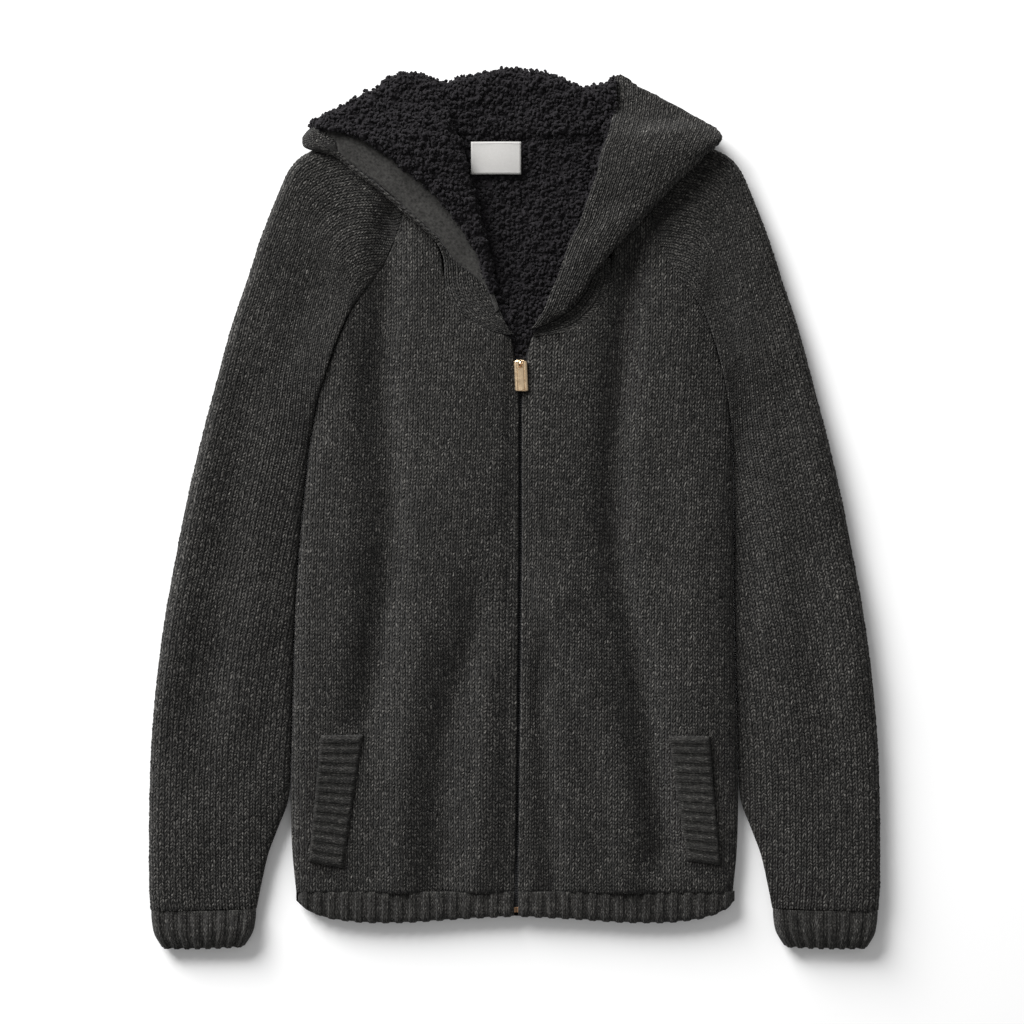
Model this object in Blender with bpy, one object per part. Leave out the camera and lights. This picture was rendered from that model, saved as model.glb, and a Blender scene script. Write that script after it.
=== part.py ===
"""A knitted zip-up hoodie with a pile lining, laid flat on its back.

Every cut-and-sewn piece is its own closed wall. Tables and sizes are in millimetres: x runs to the
wearer's left, y towards the hood, and z up from the surface that the garment lies on. A side is -1
for the wearer's right half and +1 for the left half.
"""

import math
from collections import namedtuple

import bmesh
import bpy
import numpy as np
from mathutils import Vector
from mathutils.bvhtree import BVHTree

MM = 0.001

# Driving sizes of the cloth
SEAM = 0.3
LAYER_GAP = 1.2
WALL = 6.0
SIDE_SEAM_Z = 8.5
BACK_TOP = 7.7
FRONT_UNDER = 8.9
FRONT_LEVEL = 18.0
SIDE_ROLL = 9.0
SEAM_DIP = 1.6
SLEEVE_SLIT = 0.7
SLEEVE_BESIDE_BODY = 0.8
RIB_PITCH = 12.4
RIB_RELIEF = 1.5

# Driving sizes of the zip
ZIP_HALF_GAP = 3.3
CHAIN_HALF_WIDTH = 2.3
TAPE_WIDTH = 11.0
TAPE_Z = (9.3, 10.6)
TAPE_ROOF = 11.0
CHAIN_Z = (9.4, 12.4)
CHAIN_ENDS = (-366.0, 126.6)
SLIDER_Y = 134.5
SLIDER_SIZE = (7.8, 11.0, 4.0)
SLIDER_Z = 12.9
BRIDGE_WIRE = 0.9
BRIDGE_REACH = 2.4
BRIDGE_HEIGHT = 6.2
STOP_SIZE = (2.3, 5.0, 3.4)
STOP_PLACE = (1.35, -369.0, 11.6)

# The pull: a fluted bar that leans a little, slotted round the bridge, with a hollow lower end
PULL_PIVOT_Z = 18.4
PULL_ENDS = (109.0, 136.6)
PULL_LEAN = 0.045
PULL_PIN = 0.8
PULL_SLOT = (4.0, 6.6)
PULL_HOLLOW = (2.4, 2.6)
PULL_PROFILE = [
    (-6.0, -1.3), (-6.0, 0.8), (-5.2, 1.5), (-3.9, 1.8), (-3.1, 1.3), (-2.1, 1.9), (0, 2.1), (2.1, 1.9),
    (3.1, 1.3), (3.9, 1.8), (5.2, 1.5), (6.0, 0.8), (6.0, -1.3), (5.2, -2.1), (-5.2, -2.1),
]

# The garment's centre line under the zip, which leans a little: y, x
ZIP_LINE = [(-375, 1.5), (-175, 4.0), (-40, 5.3), (160, 5.5)]

# How far the upper body lies towards the wearer's left: y, shift
LEAN = [(-83, 0.0), (-37, 2.0), (9, 4.0), (55, 6.0), (99, 7.4), (124, 9.0), (151, 10.0), (165, 11.0)]

# The side seam's distance from the middle: y, x
SIDE = [
    (-353, 201.5), (-318, 205.0), (-284, 206.3), (-249, 206.5), (-222, 205.8), (-194, 205.0), (-166, 204.3),
    (-138, 203.5), (-83, 202.0), (-37, 200.5), (9, 198.0), (55, 195.0), (99, 189.5),
]

# Raglan seams from the neck to the armpit, with the sleeve's outer fold on the same section
Raglan = namedtuple("Raglan", "x_front y_front x_outer y_outer x_back y_back top")
RAGLAN = [
    Raglan(114, 272, 81, 341, 56, 337, 17.0),
    Raglan(119, 256, 112, 341, 84, 306, 18.0),
    Raglan(125, 240, 143, 339, 108, 276, 18.5),
    Raglan(133, 224, 168, 336, 126, 252, 19.0),
    Raglan(144, 209, 189, 330, 142, 228, 19.5),
    Raglan(155, 194, 206, 316, 156, 203, 20.0),
    Raglan(164, 179, 220, 286, 166, 180, 20.5),
    Raglan(175, 151, 234, 250, 176, 151, 21.0),
    Raglan(183, 124, 246, 213, 183, 124, 21.5),
    Raglan(189.5, 99, 261, 169, 189.5, 99, 22.0),
]

# The sleeve below the armpit: its underarm edge, that edge's distance from the body, the outer fold, the height
Forearm = namedtuple("Forearm", "y_under away x_outer y_outer top")
FOREARM = [
    Forearm(64, 0, 276, 114, 23.0),
    Forearm(27, 0, 289, 64, 23.0),
    Forearm(-19, 0, 302, 9, 22.5),
    Forearm(-65, 0, 312, -42, 22.0),
    Forearm(-120, 0, 322.5, -100, 22.0),
    Forearm(-175, 0, 330, -157, 21.5),
    Forearm(-231, 0, 335, -214, 21.0),
    Forearm(-267, 1.5, 336.7, -258, 20.5),
    Forearm(-293, 11.0, 337.2, -288, 20.0),
    Forearm(-318, 21.5, 337.2, -315, 19.5),
    Forearm(-345, 31.0, 337.2, -344, 18.5),
    Forearm(-368, 36.5, 336, -369, 17.5),
]

# The cuff's two edges: y and x of the inner edge, y and x of the outer edge, height
Cuff = namedtuple("Cuff", "x_inner y_inner x_outer y_outer top")
CUFF = [
    Cuff(238.5, -368.6, 335.5, -369.6, 15.5),
    Cuff(240, -380, 334.5, -381, 15.5),
    Cuff(242.5, -392, 331.5, -394, 15.0),
    Cuff(249, -402.5, 326, -404, 12.0),
]
CUFF_SAG = 1.2

# The front neckline from the zip to the raglan seam: x, y. The zip's own top is the row before it
NECKLINE = [(37, 165), (56, 175), (70, 193), (75.5, 211), (77, 231), (88, 262)]
ZIP_TOP_Y = 158.0
ZIP_TOP_HALF_GAP = 9.5
ZIP_OPENING = [(113.0, ZIP_HALF_GAP), (136.0, 5.4), (ZIP_TOP_Y, ZIP_TOP_HALF_GAP)]

# The hem's lower edge on each half: x from the middle, y
HEM_EDGE = [(0, -375), (50, -377.5), (110, -381), (150, -380), (180, -374.5), (194, -368), (201.5, -361)]
HEM_TOP = 15.0

# The large folds of the front: troughs lie below the front's level and ridges above it
Fold = namedtuple("Fold", "path half_width rise fade")
FOLDS = [
    Fold([(165, -119), (55, -119), (-83, -126), (-175, -144)], 17, -5.0, 35),
    Fold([(235, 99), (55, 95), (-83, 95), (-175, 111), (-249, 131), (-313, 148)], 14, -6.0, 28),
    Fold([(-120, -42), (-166, -48), (-350, -52)], 13, -4.0, 45),
    Fold([(-190, 30), (-340, 28)], 11, -3.0, 40),
    Fold([(-60, -93), (-140, -100), (-345, -103)], 22, 3.0, 45),
    Fold([(-100, -20), (-345, -23)], 14, 2.4, 45),
    Fold([(-60, 62), (-345, 66)], 20, 2.6, 50),
    Fold([(215, 132), (60, 131), (-100, 136), (-190, 150)], 19, 3.2, 40),
    Fold([(150, -60), (-60, -70)], 30, 2.0, 60),
    Fold([(150, 50), (-60, 52)], 26, 1.8, 60),
]

# Soft troughs and ridges of each sleeve: y, distance from the middle
SLEEVE_FOLDS = [
    Fold([(230, 196), (130, 208), (60, 214), (-60, 222)], 15, -2.6, 40),
    Fold([(120, 236), (20, 250), (-90, 271), (-240, 274)], 24, -2.2, 45),
    Fold([(110, 262), (0, 284), (-150, 302)], 20, 1.6, 45),
    Fold([(-210, 240), (-300, 268), (-350, 282)], 20, -1.8, 35),
]

# The hood's right half, opened outwards: its inner crease and its free edge, the pile's loft, how far the
# pile and the facing reach towards the edge, and the facing's share of that
Flap = namedtuple("Flap", "x_crease y_crease x_edge y_edge lining reach facing")
RIGHT_FLAP = [
    Flap(-68.5, 392.5, -84, 398, 7.0, 0.9, 0.0),
    Flap(-62, 372, -112, 398, 11.0, 0.93, 0.0),
    Flap(-55, 351, -158, 373, 12.0, 0.955, 0.0),
    Flap(-48, 331, -195, 340, 11.0, 0.97, 0.02),
    Flap(-43, 306, -174, 327, 10.5, 0.965, 0.15),
    Flap(-39, 286, -146, 309, 10.0, 0.955, 0.27),
    Flap(-35, 268, -110, 279, 9.5, 0.93, 0.42),
    Flap(-31, 251, -80, 257, 8.5, 0.88, 0.58),
    Flap(-29, 241, -69.4, 246, 8.0, 0.86, 0.6),
]

# Below those rows it is sewn inside the neckline: its inner crease, down to the zip
RIGHT_CREASE = [(-27, 231), (-22.5, 212), (-18, 196), (-12, 180), (-6.5, 168), (-0.5, 161.5)]
SEWN_LOFT = 7.0
SEWN_REACH = 0.7
SEWN_FACING = 0.52
FIRST_FACED = 3
HOOD_WALL = 5.0
HOOD_LIP = 2.6
HOOD_RIM_Z = 12.2
FACING_WALL = 2.6

# The left half's lowest strip, sewn inside the neckline: its inner edge, from the zip up
LEFT_CREASE = [(16, 168), (27, 179), (44, 193), (56, 206), (62, 219), (66, 233)]
ZIP_CORNER = (3.0, 160.6)

# The hood's left half, folded over: its free edge and its outer fold, and its height over what it lies on
Turned = namedtuple("Turned", "x_free y_free x_fold y_fold height")
LEFT_FLAP = [
    Turned(91, 395.5, 110, 398.5, 11.0),
    Turned(88, 386, 124, 391, 17.0),
    Turned(86, 372, 148, 377, 21.0),
    Turned(81.4, 354, 170.7, 364, 24.0),
    Turned(78.7, 331, 190, 342, 25.0),
    Turned(77.5, 317, 183, 331, 25.0),
    Turned(76, 303, 173.4, 319, 25.0),
    Turned(65.8, 271, 137.5, 282, 24.0),
    Turned(53, 239, 101, 243, 21.0),
    Turned(40, 213, 75, 216, 18.0),
    Turned(28, 190, 51, 190, 15.0),
    Turned(14.5, 166, 28, 165, 13.0),
]

# The hood's centre back: its upper edge, x and y
HOOD_TOP = [(-68.5, 391), (-36, 400), (14, 404.3), (42, 397), (64, 387), (84, 379)]
HOOD_TOP_ENDS = (-66.0, 86.0)
HOOD_FOOT_ENDS = (-46.0, 78.0)
HOOD_BACK_Z = (0.0, 5.0)
HOOD_PILE_Z = (5.3, 16.5)
NECK_SEAM_Y = 345.0

# The pile lining seen inside the back of the neck: y and half width, up to the neck seam
NECK_LINING = [(166, 20), (175, 42), (193, 60), (211, 69), (231, 72), (262, 80), (300, 76), (325, 57), (341, 43)]
NECK_LINING_LOFT = 6.5

LABEL_SIZE = (46.0, 30.0, 0.8)
LABEL_PLACE = (-17.0, 323.0)

# Pocket welts: the corners of each strip as x and y, upper inner, upper outer, lower inner, lower outer
Welt = namedtuple("Welt", "upper_inner upper_outer lower_inner lower_outer")
WELTS = {
    -1: Welt((-139.5, -207.5), (-178, -207.5), (-158, -330), (-189, -323.5)),
    1: Welt((142, -208), (179, -208), (159, -323), (189, -327)),
}
WELT_RIBS = 13
WELT_LOFT = 3.2


def read(table, at):
    """The value of a two-column table at a place in its first column, between its rows."""
    rows = sorted(table)
    return float(np.interp(at, [row[0] for row in rows], [row[1] for row in rows]))


def ease(value):
    """A smooth step from 0 to 1."""
    value = min(1.0, max(0.0, value))
    return value * value * (3 - 2 * value)


def rounded(distance, radius):
    """The height of a quarter circle, as a share, at this distance in from a rolled edge."""
    inward = min(1.0, max(0.0, distance / radius))
    return math.sqrt(1 - (1 - inward) ** 2)


def zip_x(y):
    return read(ZIP_LINE, y)


def lean(y):
    return read(LEAN, y)


def side_x(side, y):
    return side * read(SIDE, y) + lean(y)


def fold_relief(folds, x, y):
    """The height that the folds add at a point."""
    total = 0.0
    for fold in folds:
        ends = sorted(point[0] for point in fold.path)
        middle = read(fold.path, y)
        along = ease((y - ends[0] + fold.fade) / fold.fade) * ease((ends[-1] + fold.fade - y) / fold.fade)
        total += fold.rise * along * math.exp(-(((x - middle) / fold.half_width) ** 2))
    return total


def front_top(x, y):
    """The front's upper surface away from its edges."""
    hem_fall = 2.2 * ease((-290 - y) / 70)
    near_zip = ease((abs(x - zip_x(y)) - 6) / 22)
    loft = 0.8 * math.sin(x / 47 + 1.3) * math.sin(y / 61)
    return 15.6 + near_zip * (FRONT_LEVEL - 15.6 + fold_relief(FOLDS, x, y) + loft) - hem_fall


def sleeve_top(side, x, y, height):
    """The sleeve's upper surface away from its edges."""
    loft = 0.6 * math.sin(y / 39 + side) * math.sin(x / 31)
    return height + fold_relief(SLEEVE_FOLDS, abs(x), y) + loft


def rib(place):
    """A rib's height, as a share, at a place counted in ribs: two high wales and two low ones."""
    phase = place % 1.0
    return 1.0 if 0.3 < phase < 0.8 else 0.0


def material(name, colour, roughness, metallic=0.0):
    found = bpy.data.materials.new(name)
    found.use_nodes = True
    shader = found.node_tree.nodes["Principled BSDF"]
    shader.inputs["Base Color"].default_value = (*colour, 1.0)
    shader.inputs["Roughness"].default_value = roughness
    shader.inputs["Metallic"].default_value = metallic
    found.diffuse_color = (*colour, 1.0)
    return found


def finish(mesh, name, finish_material, collection):
    """Makes an object of a mesh in metres, smooth over its gentle edges."""
    thing = bpy.data.objects.new(name, mesh)
    collection.objects.link(thing)
    mesh.materials.append(finish_material)
    mesh.shade_smooth()
    mesh.set_sharp_from_angle(angle=math.radians(40))
    return thing


def wall(name, outer, inner, finish_material, collection, ring=False):
    """A closed cloth wall between two grids of points, with its edges joined round; a ring has no side edges."""
    rows, columns = outer.shape[:2]
    mesh = bpy.data.meshes.new(name)
    work = bmesh.new()
    faces_of = []
    for grid in (outer, inner):
        faces_of.append([[work.verts.new(Vector(point) * MM) for point in row] for row in grid])
    above, below = faces_of
    last = columns if ring else columns - 1
    for row in range(rows - 1):
        for column in range(last):
            after = (column + 1) % columns
            for grid in faces_of:
                work.faces.new((grid[row][column], grid[row][after], grid[row + 1][after], grid[row + 1][column]))
    for row in (0, rows - 1):
        for column in range(last):
            after = (column + 1) % columns
            work.faces.new((above[row][column], above[row][after], below[row][after], below[row][column]))
    if not ring:
        for column in (0, columns - 1):
            for row in range(rows - 1):
                work.faces.new((above[row][column], above[row + 1][column], below[row + 1][column], below[row][column]))
    bmesh.ops.recalc_face_normals(work, faces=work.faces)
    work.to_mesh(mesh)
    work.free()
    return finish(mesh, name, finish_material, collection)


class Ground:
    """What has been laid down so far, asked for its height from above."""

    def __init__(self, things):
        self.trees = []
        for thing in things:
            points = [vertex.co / MM for vertex in thing.data.vertices]
            self.trees.append(BVHTree.FromPolygons(points, [tuple(face.vertices) for face in thing.data.polygons]))

    def height(self, x, y, reach=0.0):
        """The highest point within this reach of a place, and 0 on the bare surface."""
        best = 0.0
        spots = [(0.0, 0.0)]
        for share, count in ((1.0, 12), (0.5, 6)):
            for turn in range(count if reach else 0):
                angle = math.tau * turn / count
                spots.append((share * reach * math.cos(angle), share * reach * math.sin(angle)))
        for tree in self.trees:
            for dx, dy in spots:
                hit = tree.ray_cast(Vector((x + dx, y + dy, 300.0)), Vector((0, 0, -1)))[0]
                if hit is not None:
                    best = max(best, hit.z)
        return best


def softened(heights, passes=2):
    """Lifts hollows towards the mean of their neighbours, and lowers nothing."""
    for _ in range(passes):
        padded = np.pad(heights, 1, mode="edge")
        around = (padded[:-2, 1:-1] + padded[2:, 1:-1] + padded[1:-1, :-2] + padded[1:-1, 2:]) / 4
        heights = np.maximum(heights, around)
    return heights


def plan(starts, ends, shares):
    """A grid in plan: each row runs from its start to its end by these shares."""
    starts, ends = np.array(starts, float), np.array(ends, float)
    shares = np.array(shares, float)[None, :, None]
    return starts[:, None, :] + (ends - starts)[:, None, :] * shares


def raised(flat, heights):
    return np.concatenate([flat, np.array(heights, float)[:, :, None]], axis=2)


def stations(width, near, between, far):
    """Distances across a piece: those near its start, evenly between, and those near its end, squeezed if narrow."""
    squeeze = min(1.0, width / (2.2 * (near[-1] + far[-1])))
    near = [squeeze * value for value in near]
    far = [width - squeeze * value for value in reversed(far)]
    middle = list(np.linspace(near[-1], far[0], between + 2)[1:-1])
    return near + middle + far


def front_rows(side):
    """The front's rows from the hem to the neck: side edge, centre edge, how far the side rolls under, zip edge."""
    rows = []
    for y, _ in SIDE:
        rows.append(((side_x(side, y), y), (zip_x(y) + side * ZIP_HALF_GAP, y), 1.0, True))
    rows[-1] = (*rows[-1][:2], 0.4, True)
    seams = [(side * (row.x_front - SEAM) + lean(row.y_front), row.y_front) for row in reversed(RAGLAN[:-1])]
    zip_ys, gaps = zip(*ZIP_OPENING)
    centres = [(zip_x(y) + side * gap, y) for y, gap in zip(zip_ys, gaps)]
    centres += [(side * x + lean(y), y) for x, y in NECKLINE]
    for index, (seam, centre) in enumerate(zip(seams, centres)):
        rows.append((seam, centre, 0.0, index < len(zip_ys)))
    return rows


def front(side, cloth, collection):
    """One front, from its rolled side edge or raglan seam to the zip or neckline."""
    outer, inner = [], []
    for edge, centre, roll, at_zip in front_rows(side):
        edge, centre = np.array(edge), np.array(centre)
        width = float(np.linalg.norm(centre - edge))
        way = (centre - edge) / width
        seam_gap = 0.0 if roll == 1.0 else SEAM / 2
        outer_row, inner_row = [], []
        for distance in stations(width, [0, 0.9, 3.2, 8.5], 9, [0, 1.2, 5, 13]):
            to_centre = width - distance
            place = edge + way * (distance if distance > seam_gap else seam_gap)
            top = front_top(*place)
            dip = SEAM_DIP * (1 - ease(distance / 8)) * (1 - roll)
            full = SIDE_SEAM_Z + SEAM / 2 + (top - SIDE_SEAM_Z) * rounded(distance, SIDE_ROLL)
            z_out = roll * full + (1 - roll) * (top - dip)
            z_in = FRONT_UNDER + 0.45 * max(0.0, min(7.0, top - FRONT_LEVEL))
            inward = distance + roll * WALL * max(0.0, 1 - distance / 30)
            if distance < 1 and roll == 1.0:
                z_in = SIDE_SEAM_Z + SEAM / 2
            if at_zip:
                z_in += (TAPE_ROOF - z_in) * ease((22 - to_centre) / 7)
                z_out -= 2.0 * (1 - rounded(to_centre, 5.0))
            else:
                z_out -= 1.2 * (1 - rounded(to_centre, 5.0))
            outer_row.append((*place, z_out))
            inner_row.append((*(edge + way * max(inward, seam_gap)), z_in))
        outer.append(outer_row)
        inner.append(inner_row)
    return wall("front_right" if side < 0 else "front_left", np.array(outer), np.array(inner), cloth, collection)


def back(cloth, collection):
    """The back, flat on the surface, with its side edges rolled up to the side seams."""
    kept = [row for index, row in enumerate(SIDE) if index % 2 == 0 or row[0] > 50]
    rows = [((side_x(-1, y), y), (side_x(1, y), y), 1.0) for y, _ in kept]
    rows[-1] = (*rows[-1][:2], 0.4)
    for row in reversed(RAGLAN[:-1]):
        y = row.y_back
        rows.append(((SEAM - row.x_back + lean(y), y), (row.x_back - SEAM + lean(y), y), 0.0))
    rows.append(((-48 + lean(342), 342), (48 + lean(342), 342), 0.0))
    outer, inner = [], []
    for left, right, roll in rows:
        width = right[0] - left[0]
        seam_gap = 0.0 if roll == 1.0 else SEAM / 2
        outer_row, inner_row = [], []
        for distance in stations(width, [0, 1.2, 4.5, 11], 4, [0, 1.2, 4.5, 11]):
            from_edge = min(distance, width - distance)
            toward = 1 if distance < width / 2 else -1
            reach = from_edge + roll * WALL * max(0.0, 1 - from_edge / 30)
            edge_x = left[0] if toward > 0 else right[0]
            under = (SIDE_SEAM_Z - SEAM / 2) * roll * (1 - rounded(from_edge, SIDE_ROLL))
            above = SIDE_SEAM_Z - SEAM / 2 if roll == 1.0 and from_edge < 1 else BACK_TOP
            outer_row.append((edge_x + toward * max(from_edge, seam_gap), left[1], under))
            inner_row.append((edge_x + toward * max(reach, seam_gap), left[1], above))
        outer.append(outer_row)
        inner.append(inner_row)
    return wall("back", np.array(outer), np.array(inner), cloth, collection)


def sleeve_sections(side):
    """Front seam point, outer fold, back seam point, height and how far the seam edges roll under, neck to cuff."""
    sections = []
    for index, row in enumerate(RAGLAN):
        seam = (side * (row.x_front + SEAM) + lean(row.y_front), row.y_front)
        behind = (side * (row.x_back + SEAM) + lean(row.y_back), row.y_back)
        neck_lean = lean(row.y_front) * max(0.0, 1 - index / 3)
        sections.append((seam, (side * row.x_outer + neck_lean, row.y_outer), behind, row.top, 0.0))
    sections[-1] = (*sections[-1][:4], 0.4)
    for row in FOREARM:
        under = (side_x(side, row.y_under) + side * (SLEEVE_BESIDE_BODY + row.away), row.y_under)
        sections.append((under, (side * row.x_outer, row.y_outer), under, row.top, 1.0))
    return sections


def sleeve(side, cloth, collection):
    """One sleeve, flattened: its front layer, outer fold and back layer are one wall, open at the underarm seam."""
    outer, inner = [], []
    for seam, fold, behind, height, roll in sleeve_sections(side):
        outer_row, inner_row = [], []
        for start, layer in ((seam, 1), (behind, -1)):
            start, end = np.array(start, float), np.array(fold, float)
            width = float(np.linalg.norm(end - start))
            way = (end - start) / width
            between = 4 if layer > 0 else 2
            steps = stations(width, [0, 1.0, 3.5, 9], between, [0, 1.2, 4.5, 10])
            seam_gap = SEAM / 2 if roll < 1.0 else 0.0
            outer_half, inner_half = [], []
            for distance in steps:
                to_fold = width - distance
                place = start + way * max(distance, seam_gap)
                shape = rounded(to_fold, SIDE_ROLL) * (1 - roll + roll * rounded(distance, SIDE_ROLL))
                if layer > 0:
                    top = sleeve_top(side, *place, height) - SEAM_DIP * (1 - ease(distance / 8)) * (1 - roll)
                    z_out = SIDE_SEAM_Z + (top - SIDE_SEAM_Z) * shape
                else:
                    z_out = SIDE_SEAM_Z * (1 - shape)
                z_in = SIDE_SEAM_Z + layer * SLEEVE_SLIT
                if roll == 1.0 and distance < 1:
                    z_out = z_in = SIDE_SEAM_Z + layer * SEAM / 2
                inward = distance + roll * WALL * max(0.0, 1 - distance / 30) - WALL * max(0.0, 1 - to_fold / 30)
                if to_fold == 0:
                    z_in = SIDE_SEAM_Z
                outer_half.append((*place, z_out))
                inner_half.append((*(start + way * max(inward, seam_gap)), z_in))
            if layer < 0:
                outer_half, inner_half = outer_half[-2::-1], inner_half[-2::-1]
            outer_row += outer_half
            inner_row += inner_half
        outer.append(outer_row)
        inner.append(inner_row)
    return wall("sleeve_right" if side < 0 else "sleeve_left", np.array(outer), np.array(inner), cloth, collection)


def cuff(side, cloth, collection):
    """A ribbed tube, flattened, with its ribs raised on the upper layer over a plain inside."""
    ribs = round((CUFF[0].x_outer - CUFF[0].x_inner) / RIB_PITCH)
    shares = [0.0, 0.012] + [(index + 0.5) / (4 * ribs) for index in range(4 * ribs)][1:-1] + [0.988, 1.0]
    outer, inner = [], []
    for row in CUFF:
        start = np.array((side * row.x_inner, row.y_inner))
        end = np.array((side * row.x_outer, row.y_outer))
        width = float(np.linalg.norm(end - start))
        middle = row.top / 2
        upper, upper_in = [], []
        for share in shares:
            from_edge = min(share, 1 - share) * width
            place = start + (end - start) * share
            place[1] -= CUFF_SAG * math.sin(math.pi * share)
            shape = rounded(from_edge, row.top / 2)
            relief = RIB_RELIEF * rib(share * ribs) * ease(from_edge / 4)
            upper.append((*place, middle + (row.top - middle) * shape + relief))
            tucked = np.clip(share, WALL / width, 1 - WALL / width)
            inward = start + (end - start) * tucked
            inward[1] = place[1]
            upper_in.append((*inward, middle + SLEEVE_SLIT * (0.2 + 0.8 * min(1.0, from_edge / 8))))
        lower, lower_in = [], []
        for share in (0.985, 0.93, 0.7, 0.5, 0.3, 0.07, 0.015):
            from_edge = min(share, 1 - share) * width
            place = start + (end - start) * share
            place[1] -= CUFF_SAG * math.sin(math.pi * share)
            lower.append((*place, middle * (1 - rounded(from_edge, row.top / 2))))
            tucked = np.clip(share, WALL / width, 1 - WALL / width)
            inward = start + (end - start) * tucked
            inward[1] = place[1]
            lower_in.append((*inward, middle - SLEEVE_SLIT * (0.2 + 0.8 * min(1.0, from_edge / 8))))
        outer.append(upper + lower)
        inner.append(upper_in + lower_in)
    name = "cuff_right" if side < 0 else "cuff_left"
    return wall(name, np.array(outer), spread(np.array(inner), len(shares)), cloth, collection, ring=True)


def spread(inner, upper_count):
    """Parts the points of a cuff's inside that were tucked onto one place, so that each has its own."""
    for row in inner:
        for points in (row[:upper_count], row[upper_count:]):
            shares = np.linspace(0, 1, len(points))[:, None]
            points[:, :2] = points[0, :2] + (points[-1, :2] - points[0, :2]) * shares
    return inner


def hem_front(side, cloth, collection):
    """The ribbed band under one front."""
    top_y = SIDE[0][0] - SEAM
    side_edge, zip_edge = side_x(side, top_y), zip_x(top_y) + side * ZIP_HALF_GAP
    width = abs(zip_edge - side_edge)
    ribs = round(width / RIB_PITCH)
    ribbed = [width * (index + 0.5) / (4 * ribs) for index in range(4 * ribs)]
    distances = [0.0, 0.6] + ribbed[1:-1] + [width - 0.8, width]
    rows = ((0.0, 1.0), (0.8, 0.92), (1.0, 0.16))
    outer, inner = [], []
    for down, fullness in rows:
        outer_row, inner_row = [], []
        for distance in distances:
            x = side_edge + (zip_edge - side_edge) * distance / width
            edge_x = max(0.0, abs(x - zip_x(top_y)))
            bottom = read(HEM_EDGE, edge_x)
            y = top_y + (bottom - top_y) * down
            to_zip = width - distance
            top = HEM_TOP + RIB_RELIEF * rib(distance / width * ribs) * ease(min(distance, to_zip) / 3)
            z_out = SIDE_SEAM_Z + SEAM / 2 + (top - SIDE_SEAM_Z) * rounded(distance, SIDE_ROLL)
            z_in = FRONT_UNDER if distance > 0.5 else SIDE_SEAM_Z + SEAM / 2
            z_in += (TAPE_ROOF - z_in) * ease((22 - to_zip) / 7)
            z_out = max(z_in + 1.2, z_in + (z_out - z_in) * fullness) if distance > 0.5 else z_out
            inward = distance + WALL * max(0.0, 1 - distance / 30)
            outer_row.append((x, y, z_out))
            inner_row.append((side_edge + (zip_edge - side_edge) * inward / width, y, z_in))
        outer.append(outer_row)
        inner.append(inner_row)
    return wall("hem_right" if side < 0 else "hem_left", np.array(outer), np.array(inner), cloth, collection)


def hem_back(cloth, collection):
    """The band under the back, flat where it rests."""
    top_y = SIDE[0][0] - SEAM
    left, right = side_x(-1, top_y), side_x(1, top_y)
    width = right - left
    outer, inner = [], []
    for down in (0.0, 0.55, 1.0):
        outer_row, inner_row = [], []
        for distance in stations(width, [0, 1.2, 4.5, 11], 11, [0, 1.2, 4.5, 11]):
            from_edge = min(distance, width - distance)
            toward = 1 if distance < width / 2 else -1
            x = left + distance
            bottom = read(HEM_EDGE, abs(x - zip_x(top_y)))
            y = top_y + (bottom - top_y) * down
            under = (SIDE_SEAM_Z - SEAM / 2) * (1 - rounded(from_edge, SIDE_ROLL))
            above = SIDE_SEAM_Z - SEAM / 2 if from_edge < 1 else BACK_TOP
            lift = 1.5 if down == 1.0 else 0.0
            outer_row.append((x, y, min(above - 1.0, under + lift) if from_edge >= 1 else under))
            inner_row.append((x + toward * WALL * max(0.0, 1 - from_edge / 30), y, above))
        outer.append(outer_row)
        inner.append(inner_row)
    return wall("hem_back", np.array(outer), np.array(inner), cloth, collection)


def pocket_welt(side, ground, cloth, collection):
    """A ribbed strip sewn on the front along its inner side, and lifted along the pocket's opening."""
    shape = WELTS[side]
    count = 3 * WELT_RIBS
    downs = [(index + 0.5) / count for index in range(count)]
    downs = [0.0] + downs + [1.0]
    relief = [0.0] + [0.0 if index % 3 == 0 else 1.0 for index in range(count)] + [0.0]
    starts = [np.array(shape.upper_inner) + (np.array(shape.lower_inner) - shape.upper_inner) * d for d in downs]
    ends = [np.array(shape.upper_outer) + (np.array(shape.lower_outer) - shape.upper_outer) * d for d in downs]
    flat = plan(starts, ends, [0.0, 0.08, 0.92, 1.0])
    lower = np.array([[ground.height(x, y, 6.0) for x, y in row] for row in flat]) + SEAM
    lower += np.array([0.0, 0.0, 0.8, 1.0])[None, :]
    fullness = np.array([0.45, 0.95, 0.95, 0.5])[None, :] * np.array([0.6] + [1.0] * count + [0.6])[:, None]
    upper = lower + WELT_LOFT * fullness + 1.3 * np.array(relief)[:, None] * fullness
    name = "pocket_welt_right" if side < 0 else "pocket_welt_left"
    return wall(name, raised(flat, upper), raised(flat, lower), cloth, collection)


def neck_lining(pile, collection):
    """The pile inside the back of the neck, seen between the two halves of the hood."""
    starts = [(-half + lean(y), y) for y, half in NECK_LINING]
    ends = [(half + lean(y), y) for y, half in NECK_LINING]
    flat = plan(starts, ends, [0, 0.04, 0.18, 0.34, 0.5, 0.66, 0.82, 0.96, 1])
    lower = np.full(flat.shape[:2], BACK_TOP + SEAM)
    loft = np.full(lower.shape, NECK_LINING_LOFT)
    loft[:, (0, -1)] *= 0.5
    loft[(0, -1), :] *= 0.6
    return wall("neck_lining", raised(flat, lower + loft), raised(flat, lower), pile, collection)


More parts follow.
